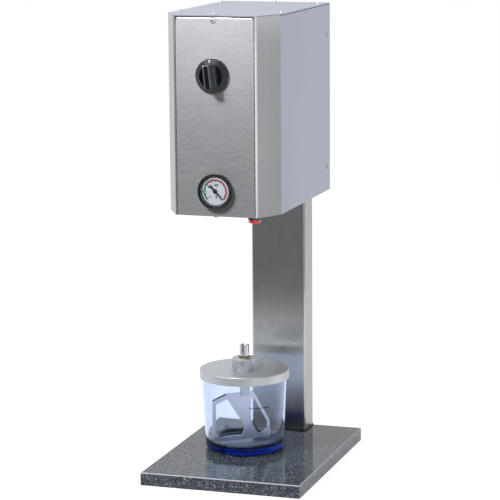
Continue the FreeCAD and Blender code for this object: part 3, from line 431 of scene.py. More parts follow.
def granite():
    """Polished dark granite: near-black grains among grey and pale ones."""
    finish = Finish("granite", (0.1, 0.1, 0.1), 0.16)
    cells = finish.add("TexVoronoi", feature="F1")
    cells.inputs["Scale"].default_value = 760.0
    finish.join(finish.place(), cells.inputs["Vector"])
    shade = finish.add("SeparateColor")
    finish.join(cells.outputs["Color"], shade.inputs["Color"])
    grains = finish.ramp(
        shade.outputs["Red"],
        [
            (0.0, (0.022, 0.028, 0.036)), (0.40, (0.044, 0.053, 0.065)),
            (0.62, (0.072, 0.085, 0.102)), (0.84, (0.115, 0.135, 0.157)),
            (0.95, (0.20, 0.23, 0.26)), (1.0, (0.34, 0.38, 0.41)),
        ],
    )
    patches = finish.noise(finish.place(), 130.0, 4.0, 0.7)
    mica = finish.ramp(patches, [(0.40, (0.62, 0.63, 0.65)), (0.6, WHITE)])
    finish.colour(finish.multiply(grains, mica))
    finish.rough(finish.spread(patches, 0.04, 0.09))
    finish.relief(patches, 0.015, 0.02 * MM)
    finish.set("Specular IOR Level", 0.17)
    return finish.material


def clear_blue(name, colour, density):
    """Blue-tinted clear plastic that darkens with its thickness."""
    finish = Finish(name, colour, 0.03)
    finish.set("Transmission Weight", 1.0)
    finish.set("IOR", 1.46)
    scuff = finish.noise(finish.place(), 220.0, 4.0, 0.6)
    finish.rough(finish.spread(scuff, 0.015, 0.05))
    depth = finish.add("VolumeAbsorption")
    depth.inputs["Color"].default_value = (0.09, 0.40, 0.86, 1)
    depth.inputs["Density"].default_value = density
    out = finish.nodes["Material Output"]
    finish.join(depth.outputs["Volume"], out.inputs["Volume"])
    return finish.material


def clear_window():
    finish = Finish("clear_window", (0.97, 0.98, 1.0), 0.02)
    finish.set("Transmission Weight", 1.0)
    finish.set("IOR", 1.2)
    dust = finish.noise(finish.place(), 300.0)
    finish.rough(finish.spread(dust, 0.0, 0.03))
    return finish.material


def printed(name, colour):
    """Flat print on the dial, the knob or the bowl."""
    finish = Finish(name, colour, 0.5)
    finish.set("Specular IOR Level", 0.15)
    grain = finish.noise(finish.place(), 2500.0, 2.0, 0.5)
    finish.tones(grain, colour, 0.92, 1.05)
    return finish.material


bowl_low, bowl_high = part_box("bowl")
axis = ((bowl_low.x + bowl_high.x) / 2, (bowl_low.y + bowl_high.y) / 2)
bowl_bottom, bowl_top = bowl_low.z, bowl_high.z

# How finely a grain changes along X, Y and Z
ALONG_X = (70.0, 900.0, 3000.0)
ALONG_Z = (2600.0, 2600.0, 25.0)
PADDLE_GRAIN = (400.0, 400.0, 60.0)
LAMINATIONS = (20.0, 20.0, 4000.0)

FINISHES = {
    "panel_front": brushed("brushed_front", (0.60, 0.61, 0.635), 0.27, ALONG_X, False, 0.03, 0.006, 0.8),
    "upright": brushed("brushed_upright", (0.57, 0.58, 0.60), 0.36, ALONG_Z, True, 0.05, 0.03),
    "column": brushed("brushed_column", (0.43, 0.44, 0.45), 0.28, ALONG_Z, True, 0.07, 0.02, 0.9),
    "sheet": satin("satin_sheet", (0.385, 0.415, 0.485), 0.42),
    "aluminium": turned_metal("turned_aluminium", (0.46, 0.48, 0.51), 0.42, axis),
    "steel": satin("satin_steel", (0.52, 0.52, 0.54), 0.3),
    "paddle": brushed("brushed_paddle", (0.80, 0.78, 0.84), 0.42, PADDLE_GRAIN, True, 0.04, 0.05, 0.3),
    "zinc": satin("zinc_plate", (0.55, 0.56, 0.58), 0.45),
    "screw": satin("screw_steel", (0.58, 0.58, 0.58), 0.30),
    "bronze": satin("bearing_bronze", (0.55, 0.36, 0.20), 0.35),
    "brass": satin("plain_brass", (0.72, 0.56, 0.28), 0.32),
    "iron": brushed("laminated_iron", (0.30, 0.28, 0.27), 0.5, LAMINATIONS, False),
    "granite": granite(),
    # This black is real rubber on the gaskets and seal, and painted shade on the joint strips and the
    # vent plug.
    "rubber": plastic("rubber_and_painted_shade_black", (0.018, 0.018, 0.019), 0.62),
    "black": plastic("black_plastic", (0.022, 0.023, 0.026), 0.36, 1400.0, 0.05),
    "knob": plastic("knob_plastic", (0.006, 0.007, 0.010), 0.28, 1400.0, 0.03, shine=0.34),
    # The next three are lit and shaded copies of the knob's black: painted shade, painted light and a
    # painted highlight.
    "knob_painted_shade": plastic("knob_painted_shade", (0.004, 0.004, 0.006), 0.4, 1400.0, 0.03, shine=0.12),
    "knob_painted_light": plastic("knob_painted_light", (0.030, 0.034, 0.040), 0.55, 1400.0, 0.1, shine=0.4),
    "knob_painted_highlight": plastic("knob_painted_highlight", (0.075, 0.088, 0.105), 0.5, 1400.0, 0.05),
    "bezel": plastic("bezel_black", (0.006, 0.006, 0.007), 0.45, 700.0, 0.02, shine=0.2),
    "ring_wall": satin("ring_wall", (0.22, 0.23, 0.26), 0.35),
    # A lighter matte tone for the slab's upward-facing chamfers: a painted highlight.
    "chamfer_highlight": satin("chamfer_painted_highlight", (0.36, 0.39, 0.42), 0.5, 0.0),
    # Dark paint on the paddle's shoulder, lower edges and lip: painted shade.
    "paddle_painted_shade": satin("paddle_shade_paint", (0.07, 0.07, 0.11), 0.5),
    "gloss_black": plastic("gloss_black", (0.010, 0.010, 0.012), 0.16, 700.0, 0.02, coat=0.6),
    "red": plastic("glossy_red", (0.72, 0.02, 0.015), 0.14, 700.0, 0.02, coat=0.8),
    "motor": plastic("motor_paint", (0.05, 0.05, 0.055), 0.45, 1200.0, 0.2),
    "board": plastic("board_green", (0.02, 0.16, 0.07), 0.4, 400.0, 0.1),
    "hose": plastic("hose_blue", (0.03, 0.07, 0.28), 0.35),
    "dial": printed("dial_white", (0.49, 0.51, 0.54)),
    "ink": printed("ink_black", (0.015, 0.015, 0.018)),
    "scale_red": printed("scale_red", (0.29, 0.012, 0.022)),
    "scale_green": printed("scale_green", (0.008, 0.18, 0.06)),
    "mark": printed("mark_white", (0.85, 0.86, 0.88)),
    "bowl": clear_blue("clear_blue", (0.97, 0.98, 1.0), 76.0),
    "bowl_foot": clear_blue("foot_blue", (0.62, 0.64, 0.50), 58.0),
    "window": clear_window(),
}

# The material slots whose finish has another name
SLOT_FINISH = {
    "stone": "granite", "brushed_steel": "upright", "plain_steel": "steel", "zinc_steel": "zinc",
    "screw_steel": "screw", "black_plastic": "black", "red_plastic": "red", "white_dial": "dial",
    "clear_glass": "window", "blue_plastic": "bowl", "motor_paint": "motor",
    "copper_steel": "iron", "green_board": "board", "blue_hose": "hose",
}


def finish_cad_nodes():
    """Every CAD node gets the finish of its slot; the shown ones are dressed later."""
    for row in frame["record"]["subparts"]:
        node, slot = nodes[row["node"]], row["material_slot"]
        node.data.materials.clear()
        node.data.materials.append(FINISHES[SLOT_FINISH.get(slot, slot)])


# The case, the column and the base
ARRIS = 0.75 * MM
PANEL_ROUND = 1.1 * MM
PANEL_CORNER = 3.0 * MM
PANEL_GAP = 0.8 * MM
PANEL_SCREW_X = -2.0 * MM

# The case's plain pieces: the finish of each, and the width of its edges in millimetres
CASE_EDGES = (
    ("column_tube", "column", 0.0), ("column_cap", "black", 0.5), ("column_gasket", "rubber", 0.3),
    ("front_frame", "upright", 0.2), ("side_panel_left", "sheet", 0.22),
    ("side_panel_right", "sheet", 0.22), ("top_cover", "sheet", 0.22),
    ("rear_panel", "sheet", 0.22), ("bottom_plate", "sheet", 0.22),
    ("dock_ring", "aluminium", 0.3), ("dock_gasket", "rubber", 0.2), ("air_fitting", "black", 0.4),
    ("cord_gland", "black", 0.4),
)

# Black strips of painted shade at the bottoms of the joints. The joints' depths and the seams' start are
# from the panel's front, the seams' end is from the cover's back, and their height is from its
# underside.
TOP_JOINT_DEPTH = 0.7 * MM
SIDE_JOINT_DEPTH = 0.9 * MM
JOINT_BACK = 1.7 * MM
SEAM_HEIGHT = 1.05 * MM
SEAM_DEPTH = 0.6 * MM
SEAM_START = 39.5 * MM
SEAM_END = 0.3 * MM


def dress_base():
    """The slab's polished faces meet at narrow arrises; its upward-facing chamfers get a lighter matte
    tone, a painted highlight.
    """
    slab = clean_copy("base_plate")
    bevel(slab, ARRIS, 1, 60)
    smooth(slab, 20)
    show_instead(slab, "base_plate", "granite")
    # The upward-facing chamfers get the lighter tone of a painted highlight.
    slab.data.materials.append(FINISHES["chamfer_highlight"])
    for face in slab.data.polygons:
        if face.normal.z > 0.3 and max(abs(c) for c in face.normal) < 0.9:
            face.material_index = 1


def shade_strip(name, low, high):
    """A black strip at the bottom of an open joint in the case: painted shade."""
    size = [b - a for a, b in zip(low, high)]
    strip = block(size, [(a + b) / 2 for a, b in zip(low, high)])
    bevel(strip, 0.12 * MM)
    smooth(strip, 30)
    finish_piece(strip, name, "stand", "rubber")


def paint_joint_shade():
    """The panel and the cover stand a little off the frame, and black strips paint the shade in the
    joints.
    """
    low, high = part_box("front_panel")
    cover_low, cover_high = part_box("top_cover")
    back, roof = low.y + JOINT_BACK, cover_low.z
    shade_strip("top_joint_shade", (low.x, low.y + TOP_JOINT_DEPTH, high.z), (high.x, back, roof))
    front, foot = low.y + SIDE_JOINT_DEPTH, low.z + PANEL_CORNER
    shade_strip("left_joint_shade", (low.x - PANEL_GAP, front, foot), (low.x, back, roof))
    shade_strip("right_joint_shade", (high.x, front, foot), (high.x + PANEL_GAP, back, roof))
    start, end = low.y + SEAM_START, cover_high.y - SEAM_END
    for name, side in (("left_seam_shade", cover_low.x), ("right_seam_shade", cover_high.x)):
        left, right = sorted((side, side - copysign(SEAM_DEPTH, side)))
        shade_strip(name, (left, start, roof - SEAM_HEIGHT), (right, end, roof))


def dress_panel():
    """The front panel rolls over along its top edge and round its top corners."""
    low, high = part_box("front_panel")
    panel = clean_copy("front_panel")

    def rolls_over(*ends):
        on_front = all(abs(end.y - low.y) < 0.05 * MM for end in ends)
        near_top = all(end.z > high.z - 6 * MM for end in ends)
        at_screw = all(abs(end.x - PANEL_SCREW_X) < 5 * MM for end in ends)
        return on_front and near_top and not at_screw

    bevel_chosen(panel, rolls_over, PANEL_ROUND, 5)
    bevel(panel, 0.25 * MM, 2, 40)
    smooth(panel)
    show_instead(panel, "front_panel", "panel_front")


def dress_case():
    dress_base()
    for node, finish, width in CASE_EDGES:
        dressed(node, finish, width * MM)


# Case screws, each a pan head with a cross recess
HEAD_RADIUS = 3.5 * MM
HEAD_HEIGHT = 2.3 * MM
SHANK_RADIUS = 2.0 * MM
SHANK_LENGTH = 8.0 * MM
CROSS_SLOT = (HEAD_RADIUS * 1.15, 0.75 * MM, 1.9 * MM)
CROSS_TURN = 20
SCREW_SPIN = 37

# The screws' places, from the panel's front, the case's back, its sides, its floor and its top
COVER_SIDE = 6.5 * MM
COVER_FRONT_ROW, COVER_REAR_ROW = 65 * MM, 33.5 * MM
COVER_FRONT_X, COVER_FRONT = -3.5 * MM, 10.5 * MM
COVER_REAR_X, COVER_REAR = 1.5 * MM, 15 * MM
SIDE_REAR, SIDE_LOW, SIDE_HIGH = 8.5 * MM, 33 * MM, 44.5 * MM
PANEL_SCREW_DROP = 6.5 * MM
TAB_SCREW_FRONT = 6 * MM


def pan_screw():
    """One screw, its seat at the origin and its head up."""
    rise = HEAD_HEIGHT
    profile = [
        (0, -SHANK_LENGTH), (SHANK_RADIUS * 0.7, -SHANK_LENGTH),
        (SHANK_RADIUS, -SHANK_LENGTH + 0.6 * MM), (SHANK_RADIUS, 0), (HEAD_RADIUS, 0),
        (HEAD_RADIUS, rise * 0.45), (HEAD_RADIUS * 0.93, rise * 0.72),
        (HEAD_RADIUS * 0.78, rise * 0.9), (HEAD_RADIUS * 0.5, rise), (0, rise),
    ]
    piece = lathed(profile, (0, 0, 0), 32)
    for angle in (CROSS_TURN, CROSS_TURN + 90):
        slot = block(CROSS_SLOT, (0, 0, rise), radians(angle))
        cut = piece.modifiers.new("cross", "BOOLEAN")
        cut.operation, cut.object, cut.solver = "DIFFERENCE", slot, "EXACT"
        pick(piece)
        bpy.ops.object.modifier_apply(modifier=cut.name)
        bpy.data.objects.remove(slot)
    smooth(piece, 30)
    return piece


def screw_places():
    """The twelve places of the frame's own screws, and the way that each head faces."""
    top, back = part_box("top_cover")[1].z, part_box("rear_panel")[1].y
    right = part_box("side_panel_right")[1].x
    front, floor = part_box("front_panel")[0].yz
    side, rear = right - COVER_SIDE, back - SIDE_REAR
    rows = (front + COVER_FRONT_ROW, back - COVER_REAR_ROW)
    places = [((s * side, y, top), FACING_UP) for s in (-1, 1) for y in rows]
    places.append(((COVER_FRONT_X, front + COVER_FRONT, top), FACING_UP))
    places.append(((COVER_REAR_X, back - COVER_REAR, top), FACING_UP))
    for x, facing in ((right, FACING_RIGHT), (-right, FACING_LEFT)):
        places += [((x, rear, z), facing) for z in (floor + SIDE_LOW, top - SIDE_HIGH)]
    places.append(((PANEL_SCREW_X, front, top - PANEL_SCREW_DROP), FACING_FRONT))
    places.append(((PANEL_SCREW_X, front + TAB_SCREW_FRONT, floor), FACING_DOWN))
    return places


def add_case_screws():
    """A copy of one screw at each place, each turned a little further than the last."""
    first = pan_screw()
    screws = []
    for number, (place, turn) in enumerate(screw_places()):
        screw = first.copy()
        screw.data = first.data.copy()
        scene.collection.objects.link(screw)
        spin = rotation(SCREW_SPIN * number, "Z")
        face = Matrix.Rotation(turn[0], 4, "X") @ Matrix.Rotation(turn[1], 4, "Y")
        screw.data.transform(Matrix.Translation(place) @ face @ spin)
        screws.append(screw)
    bpy.data.objects.remove(first)
    show_instead(join_all(screws), "case_screws", "screw")


# Switch knob, its mark and the ribs on its grip. Reaches are from the knob's back.
KNOB_TURN = 6.5
GRIP_REACH = 24.0 * MM
GRIP_FRONT = 4.3 * MM
GRIP_ROOT = 8.5 * MM
GRIP_EDGE = 1.5 * MM
DISH_FLOOR = 5.2 * MM
DISH_RADIUS = 14.6 * MM
RIB_SIZE = (1.2 * MM, 2.6 * MM, 24.0 * MM)
RIB_REACH = 11.4 * MM
MARK_SIZE = (1.5 * MM, 0.7 * MM, 3.8 * MM)
MARK_PLACE = (0, -5.1 * MM, 19.4 * MM)
MARK_LEAN = 37.6


def knob_frame():
    """The place and turn of the knob, with its pointer side up and its back at y = 0."""
    low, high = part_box("switch_knob")
    centre = Vector(((low.x + high.x) / 2, high.y, (low.z + high.z) / 2))
    turn = rotation(-KNOB_TURN, "Y")
    return Matrix.Translation(centre) @ turn


def break_grip_edges(knob, back_home):
    """A broad chamfer along both front edges of the grip."""

    def at_front(*ends):
        first, second = (back_home @ end for end in ends)
        reaches = max(first.y, second.y) < -GRIP_REACH + 1.0 * MM
        return reaches and abs(first.z - second.z) > 10 * MM

    bevel_chosen(knob, at_front, GRIP_EDGE, 2)


def finish_grip(knob, back_home):
    """Painted shade on the front faces and the dish, painted light on the flanks, and a painted
    highlight on the grip's front edges.
    """
    for name in ("knob_painted_shade", "knob_painted_light", "knob_painted_highlight"):
        knob.data.materials.append(FINISHES[name])
    painted_shade_face, flank, edge = 1, 2, 3
    for face in knob.data.polygons:
        spot = back_home @ face.center
        facing = (back_home.to_3x3() @ face.normal).normalized()
        sideways, off_axis = abs(facing.x), hypot(spot.x, spot.z)
        on_grip = spot.y < -DISH_FLOOR - 0.3 * MM and abs(spot.x) < GRIP_ROOT + 0.3 * MM
        # Flanks get painted light, front edges a painted highlight, and front faces and the dish painted
        # shade.
        if on_grip and sideways > 0.9 and off_axis < DISH_RADIUS + 1.6 * MM:
            face.material_index = flank
        elif on_grip and spot.y < -GRIP_REACH + 2 * GRIP_EDGE and sideways > 0.2:
            face.material_index = edge
        elif facing.y < -0.9 and off_axis < DISH_RADIUS:
            face.material_index = painted_shade_face


def add_knob_ribs(place):
    """A slim raised rib along each flank of the grip, in the lighter colour of a painted highlight."""
    slope = atan2(GRIP_ROOT - GRIP_FRONT, GRIP_REACH - DISH_FLOOR)
    out = GRIP_FRONT + (GRIP_REACH - RIB_REACH) * tan(slope)
    ribs = []
    for side in (-1, 1):
        rib = block(RIB_SIZE)
        bevel(rib, 0.4 * MM, 3)
        lean = Matrix.Rotation(side * slope, 4, "Z")
        rib.data.transform(place @ Matrix.Translation((side * out, -RIB_REACH, 0)) @ lean)
        ribs.append(rib)
    joined = join_all(ribs)
    smooth(joined, 40)
    finish_piece(joined, "ribs_painted_highlight", "knob", "knob_painted_highlight")


def dress_switch():
    place = knob_frame()
    back_home = place.inverted()
    knob = clean_copy("switch_knob")
    break_grip_edges(knob, back_home)
    bevel(knob, 0.3 * MM, 3, 32)
    smooth(knob, 25)
    show_instead(knob, "switch_knob", "knob")
    finish_grip(knob, back_home)
    add_knob_ribs(place)
    dressed("switch_nut", "screw", 0.2 * MM, 1)
    mark = block(MARK_SIZE)
    bevel(mark, 0.15 * MM)
    lean = rotation(-MARK_LEAN, "X")
    mark.data.transform(place @ Matrix.Translation(MARK_PLACE) @ lean)
    finish_piece(mark, "knob_mark", "knob", "mark")


# Gauge. Its angles are in degrees from the right, over the top.
DIAL_RADIUS = 18.2 * MM
BEZEL_WIDTH = 2.3 * MM
GLASS_SEAT = 0.9 * MM
GLASS_DEPTH = 1.6 * MM
SCALE_RADIUS = 15.1 * MM
SCALE_WIDTH = 2.1 * MM
SCALE_START = -47.0
SCALE_SWEEP = 270.0
GREEN_SWEEP = 83.0
RED_GAP = 4.0
DIVISIONS = 10
PRINT_THICK = 0.05 * MM

# Ticks: how far each reaches in and out from the scale's radius, and its width
LONG_TICK = (2.3 * MM, 0.4 * MM, 1.0 * MM)
SHORT_TICK = (1.8 * MM, -0.7 * MM, 0.35 * MM)

# Numbers: the place of each from the dial's centre and its size, in millimetres
NUMBERS = (
    ("-1", -7.4, -7.0, 4.2), ("0", 1.6, -7.4, 4.4),
    ("-0.8", -8.6, 5.4, 3.2), ("-0.5", 1.2, 8.4, 3.6),
)
LUG_SIDE, LUG_HEIGHT = 2.6 * MM, 3.2 * MM


def gauge_centre():
    low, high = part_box("gauge_bezel")
    return Vector(((low.x + high.x) / 2, low.y, (low.z + high.z) / 2))


def on_dial(x=0.0, z=0.0, proud=0.0):
    """The turn and place that lay a flat shape on the front of the dial."""
    centre = gauge_centre()
    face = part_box("gauge_dial")[0].y - 0.06 * MM
    place = Matrix.Translation((centre.x + x, face - proud, centre.z + z))
    return place @ rotation(90, "X")


def scale_arc(name, start, sweep):
    """One colour of the scale: a thin ring sector that lies on the dial."""
    bpy.ops.mesh.primitive_plane_add(size=1)
    piece = bpy.context.object
    open_mesh()
    bpy.ops.mesh.merge(type="CENTER")
    bpy.ops.transform.translate(value=(SCALE_RADIUS - SCALE_WIDTH / 2, 0, 0))
    bpy.ops.mesh.extrude_region_move(TRANSFORM_OT_translate={"value": (SCALE_WIDTH, 0, 0)})
    bpy.ops.mesh.select_all(action="SELECT")
    bpy.ops.mesh.spin(
        steps=round(sweep / 3), angle=radians(sweep), center=(0, 0, 0), axis=(0, 0, 1)
    )
    bpy.ops.mesh.select_all(action="SELECT")
    bpy.ops.mesh.extrude_region_move(TRANSFORM_OT_translate={"value": (0, 0, PRINT_THICK)})
    bpy.ops.mesh.select_all(action="SELECT")
    bpy.ops.mesh.normals_make_consistent(inside=False)
    close_mesh()
    turn = rotation(start_turn(piece, start, sweep), "Z")
    piece.data.transform(on_dial() @ turn)
    finish_piece(piece, name, "stand", name)


def start_turn(piece, start, sweep):
    """The turn after which a sector runs from its start angle, whichever way it was swept."""
    middle = sum((v.co for v in piece.data.vertices), Vector())
    return start + sweep if middle.y < 0 else start


def tick(angle, inward, outward, width):
    inner, outer = SCALE_RADIUS - inward, SCALE_RADIUS + outward
    piece = block((outer - inner, width, 0.06 * MM), ((inner + outer) / 2, 0, 0))
    turn = rotation(angle, "Z")
    piece.data.transform(on_dial(proud=PRINT_THICK) @ turn)
    return piece


def number(text, x, z, size):
    """A plain number on the dial."""
    bpy.ops.object.text_add()
    piece = bpy.context.object
    piece.data.body, piece.data.size = text, size * MM
    piece.data.extrude, piece.data.offset = 0.03 * MM, 0.26 * MM
    piece.data.align_x, piece.data.align_y = "CENTER", "CENTER"
    pick(piece)
    bpy.ops.object.convert(target="MESH")
    piece = bpy.context.object
    piece.data.transform(on_dial(x * MM, z * MM))
    return piece


def dress_inner_ring():
    """A black ring under the glass that slopes in to the dial, with a small lug at its left."""
    low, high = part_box("gauge_inner_ring")
    outer, deep = (high.x - low.x) / 2, high.y - low.y
    place = Vector((gauge_centre().x, low.y, gauge_centre().z))
    foot, lip = DIAL_RADIUS + 1.9 * MM, DIAL_RADIUS + 2.7 * MM
    profile = [
        (lip, 0), (outer, 0), (outer, -deep), (DIAL_RADIUS, -deep),
        (DIAL_RADIUS, -deep + 0.15 * MM), (DIAL_RADIUS + 0.3 * MM, -deep + 0.35 * MM),
        (foot, -deep + 0.40 * MM),
    ]
    ring = lathed(profile, place, 160, FACING_FRONT)
    smooth(ring)
    show_instead(ring, "gauge_inner_ring", "black")
    ring.data.materials.append(FINISHES["ring_wall"])
    for face in ring.data.polygons:
        away = hypot(face.center.x - place.x, face.center.z - place.z)
        slopes = abs(face.normal.y) < 0.9 and face.center.y < low.y + deep
        if slopes and foot + 0.1 * MM < away < lip - 0.1 * MM:
            face.material_index = 1
    lug_place = (place.x - DIAL_RADIUS - 0.7 * MM, low.y + deep / 2, place.z)
    lug = block((LUG_SIDE, deep - 0.2 * MM, LUG_HEIGHT), lug_place)
    bevel(lug, 0.5 * MM, 3)
    smooth(lug, 40)
    finish_piece(lug, "gauge_ring_lug", "stand", "gloss_black")


def dress_pointer():
    """The pointer is a little stouter than its flat solid."""
    pointer = clean_copy("gauge_pointer")
    pick(pointer)
    open_mesh()
    bpy.ops.transform.shrink_fatten(value=0.22 * MM, use_even_offset=True)
    close_mesh()
    smooth(pointer, 30)
    show_instead(pointer, "gauge_pointer", "ink")


def dress_bezel():
    """A black ring with a rounded front, stepped inside to seat the glass."""
    low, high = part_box("gauge_bezel")
    outer, deep = (high.x - low.x) / 2, high.y - low.y
    window = outer - BEZEL_WIDTH
    seat = window + GLASS_SEAT
    profile = [
        (window, -GLASS_DEPTH), (seat, -GLASS_DEPTH), (seat, -deep), (outer, -deep),
        (outer, -1.2 * MM), (outer - 0.2 * MM, -0.5 * MM), (outer - 0.7 * MM, -0.1 * MM),
        (outer - 1.1 * MM, 0.0), (window + 0.5 * MM, -0.15 * MM), (window + 0.1 * MM, -0.6 * MM),
    ]
    bezel = lathed(profile, gauge_centre(), 160, FACING_FRONT)
    smooth(bezel, 40)
    show_instead(bezel, "gauge_bezel", "bezel")


def print_dial():
    """The coloured scale, its ticks and its numbers."""
    red_sweep = SCALE_SWEEP - GREEN_SWEEP - RED_GAP
    scale_arc("scale_green", SCALE_START + SCALE_SWEEP - GREEN_SWEEP, GREEN_SWEEP)
    scale_arc("scale_red", SCALE_START + RED_GAP, red_sweep)
    ticks = []
    for step in range(DIVISIONS * 2 + 1):
        angle = SCALE_START + SCALE_SWEEP * step / (DIVISIONS * 2)
        ticks.append(tick(angle, *(SHORT_TICK if step % 2 else LONG_TICK)))
    finish_piece(join_all(ticks), "scale_ticks", "stand", "ink")
    digits = join_all([number(*row) for row in NUMBERS])
    finish_piece(digits, "scale_numbers", "stand", "ink")


def dress_gauge():
    dress_bezel()
    dressed("gauge_case", "bezel", 0.2 * MM)
    dress_inner_ring()
    dressed("gauge_glass", "window", 0.1 * MM)
    dress_pointer()
    print_dial()


# Push button
BUTTON_BORE = 8.1 * MM
CAP_SKIRT = 6.9 * MM
STEM_RADIUS = 3.0 * MM


def dress_button():
    """A red cap that stands out of a black collar with a groove round it."""
    low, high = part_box("button_collar")
    centre = ((low.x + high.x) / 2, (low.y + high.y) / 2)
    radius, drop = (high.x - low.x) / 2, high.z - low.z
    profile = [
        (BUTTON_BORE, 0), (radius, 0), (radius, -drop * 0.55), (radius * 0.955, -drop * 0.62),
        (radius * 0.955, -drop * 0.74), (radius * 0.99, -drop * 0.80),
        (radius * 0.99, -drop * 0.95), (radius * 0.96, -drop), (BUTTON_BORE, -drop),
    ]
    collar = lathed(profile, (*centre, high.z), 96)
    smooth(collar)
    show_instead(collar, "button_collar", "gloss_black")
    low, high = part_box("button_cap")
    radius, rise = (high.x - low.x) / 2, high.z - low.z
    profile = [
        (0, 0), (radius * 0.80, 0), (radius * 0.92, 0.25 * MM), (radius * 0.985, 0.9 * MM),
        (radius, 1.6 * MM), (radius, CAP_SKIRT), (STEM_RADIUS, CAP_SKIRT), (STEM_RADIUS, rise),
        (0, rise),
    ]
    cap = lathed(profile, (*centre, low.z), 96)
    smooth(cap, 40)
    show_instead(cap, "button_cap", "red")


# Mixing bowl, lid and mixer
FOOT_HOLLOW = 45.0 * MM
FOOT_RISE = 1.0 * MM
FOOT_RADIUS = 52.0 * MM
FOOT_BEND = 6.3 * MM
EDGE_RADIUS = 55.5 * MM
RIM_RADIUS = 60.0 * MM
WALL = 3.0 * MM
FLOOR = 9.0 * MM
FILLET = 8.0 * MM
WALL_START = 10 * MM
WALL_RINGS = (30, 50, 70, 90, 105)
BEND_FROM, BEND_SWEEP = -78, 76
BEND_STEPS, FILLET_STEPS = 8, 6
LID_RISE = 7.0 * MM


def bowl_radius(height):
    """The outside radius of the wall at a height above the bowl's foot."""
    share = (height - WALL_START) / (bowl_top - bowl_bottom - WALL_START)
    return EDGE_RADIUS + (RIM_RADIUS - EDGE_RADIUS) * share


def bowl_profile():
    """From the middle of the foot, up the outside of the wall and down its inside."""
    tall = bowl_top - bowl_bottom
    profile = [
        (0, FOOT_RISE), (FOOT_HOLLOW, FOOT_RISE), (FOOT_HOLLOW + FOOT_RISE, 0.0),
        (FOOT_RADIUS - 1.5 * MM, 0.0),
    ]
    bend_middle, bend_height = FOOT_RADIUS - 3.0 * MM, 6.5 * MM
    for step in range(BEND_STEPS + 1):
        turn = radians(BEND_FROM + BEND_SWEEP * step / BEND_STEPS)
        out, up = FOOT_BEND * cos(turn), FOOT_BEND * sin(turn)
        profile.append((bend_middle + out, bend_height + up))
    profile += [(bowl_radius(up * MM), up * MM) for up in (13, 14, *WALL_RINGS)]
    outer = bowl_radius(tall)
    inner = outer - WALL
    profile += [
        (outer - 0.05 * MM, tall - 0.5 * MM), (outer - 0.5 * MM, tall),
        (inner + 0.5 * MM, tall), (inner + 0.05 * MM, tall - 0.5 * MM),
    ]
    profile += [(bowl_radius(up * MM) - WALL, up * MM) for up in (*WALL_RINGS[::-1], 20)]
    corner = bowl_radius(FLOOR + FILLET) - WALL - FILLET
    for step in range(FILLET_STEPS + 1):
        turn = radians(90 * step / FILLET_STEPS)
        out, down = FILLET * cos(turn), FILLET * sin(turn)
        profile.append((corner + out, FLOOR + FILLET - down))
    return profile + [(corner - 2 * MM, FLOOR), (0, FLOOR)]


def dress_bowl():
    """A clear bowl whose thick foot is a deeper blue."""
    bowl = lathed(bowl_profile(), (*axis, bowl_bottom), 192)
    smooth(bowl, 40)
    show_instead(bowl, "bowl", "bowl")
    bowl.data.materials.append(FINISHES["bowl_foot"])
    for face in bowl.data.polygons:
        if face.center.z < bowl_bottom + FLOOR + 1.0 * MM:
            face.material_index = 1


# The fill line printed on the bowl's front: its height above the bench, its thickness, and
# its two ends in degrees about the bowl's axis
LINE_HEIGHT = 87.6 * MM
LINE_THICK = 0.9 * MM
LINE_FROM, LINE_TO = -65.3, -36.2


def print_fill_line():
    """A thin dark band that follows the wall of the bowl."""
    radius = bowl_radius(LINE_HEIGHT - bowl_bottom) + 0.03 * MM
    bpy.ops.mesh.primitive_cylinder_add(
        vertices=240, radius=radius, depth=LINE_THICK, end_fill_type="NOTHING"
    )
    band = bpy.context.object
    choose_nothing(band)
    for face in band.data.polygons:
        angle = degrees(atan2(face.center.y, face.center.x))
        face.select = not LINE_FROM < angle < LINE_TO
    bpy.ops.object.mode_set(mode="EDIT")
    bpy.ops.mesh.delete(type="FACE")
    close_mesh()
    band.location = (*axis, LINE_HEIGHT)
    apply_place(band)
    wall = band.modifiers.new("print", "SOLIDIFY")
    wall.thickness, wall.offset = 0.05 * MM, 1.0
    pick(band)
    bpy.ops.object.modifier_apply(modifier=wall.name)
    smooth(band, 30)
    finish_piece(band, "bowl_fill_line", "bowl", "ink")


# The lid's vent hole: its distance and its angle from the lid's centre, and the radius of the black plug
# in it, which is painted shade
VENT_REACH, VENT_ANGLE = 24.7 * MM, 38.0
PLUG_RADIUS = 1.15 * MM


def add_vent_shade():
    """A black plug at the bottom of the vent hole: painted shade."""
    turn = radians(VENT_ANGLE)
    place = (axis[0] + VENT_REACH * cos(turn), axis[1] + VENT_REACH * sin(turn))
    profile = [
        (0, -0.8 * MM), (PLUG_RADIUS, -0.8 * MM), (PLUG_RADIUS, 0.03 * MM),
        (PLUG_RADIUS - 0.2 * MM, 0.06 * MM), (0, 0.03 * MM),
    ]
    plug = lathed(profile, (*place, bowl_top + LID_RISE), 24)
    smooth(plug, 30)
    finish_piece(plug, "vent_painted_shade", "lid", "rubber")


# The paddle's upper left shoulder, from the shaft's axis and from the bench
SHOULDER_LOW = (-47.7 * MM, 89.5 * MM)
SHOULDER_HIGH = (-27.7 * MM, 97.5 * MM)
PADDLE_TURN = 38.0
LIP_DEPTH = 5.0 * MM
LIP_THICK = 0.9 * MM


def dress_paddle():
    """A bright plate whose upper left shoulder and lower edges are painted dark: painted shade."""
    paddle = dressed("mixer_paddle", "paddle", 0.2 * MM, 1)
    paddle.data.materials.append(FINISHES["paddle_painted_shade"])
    # Up-left shoulder faces and downward faces get the dark of painted shade.
    for face in paddle.data.polygons:
        up, left_of_axis = face.normal.z, face.center.x < axis[0]
        shoulder = up > 0.3 and left_of_axis and face.center.z > SHOULDER_LOW[1] - 1.5 * MM
        if shoulder or up < -0.8:
            face.material_index = 1


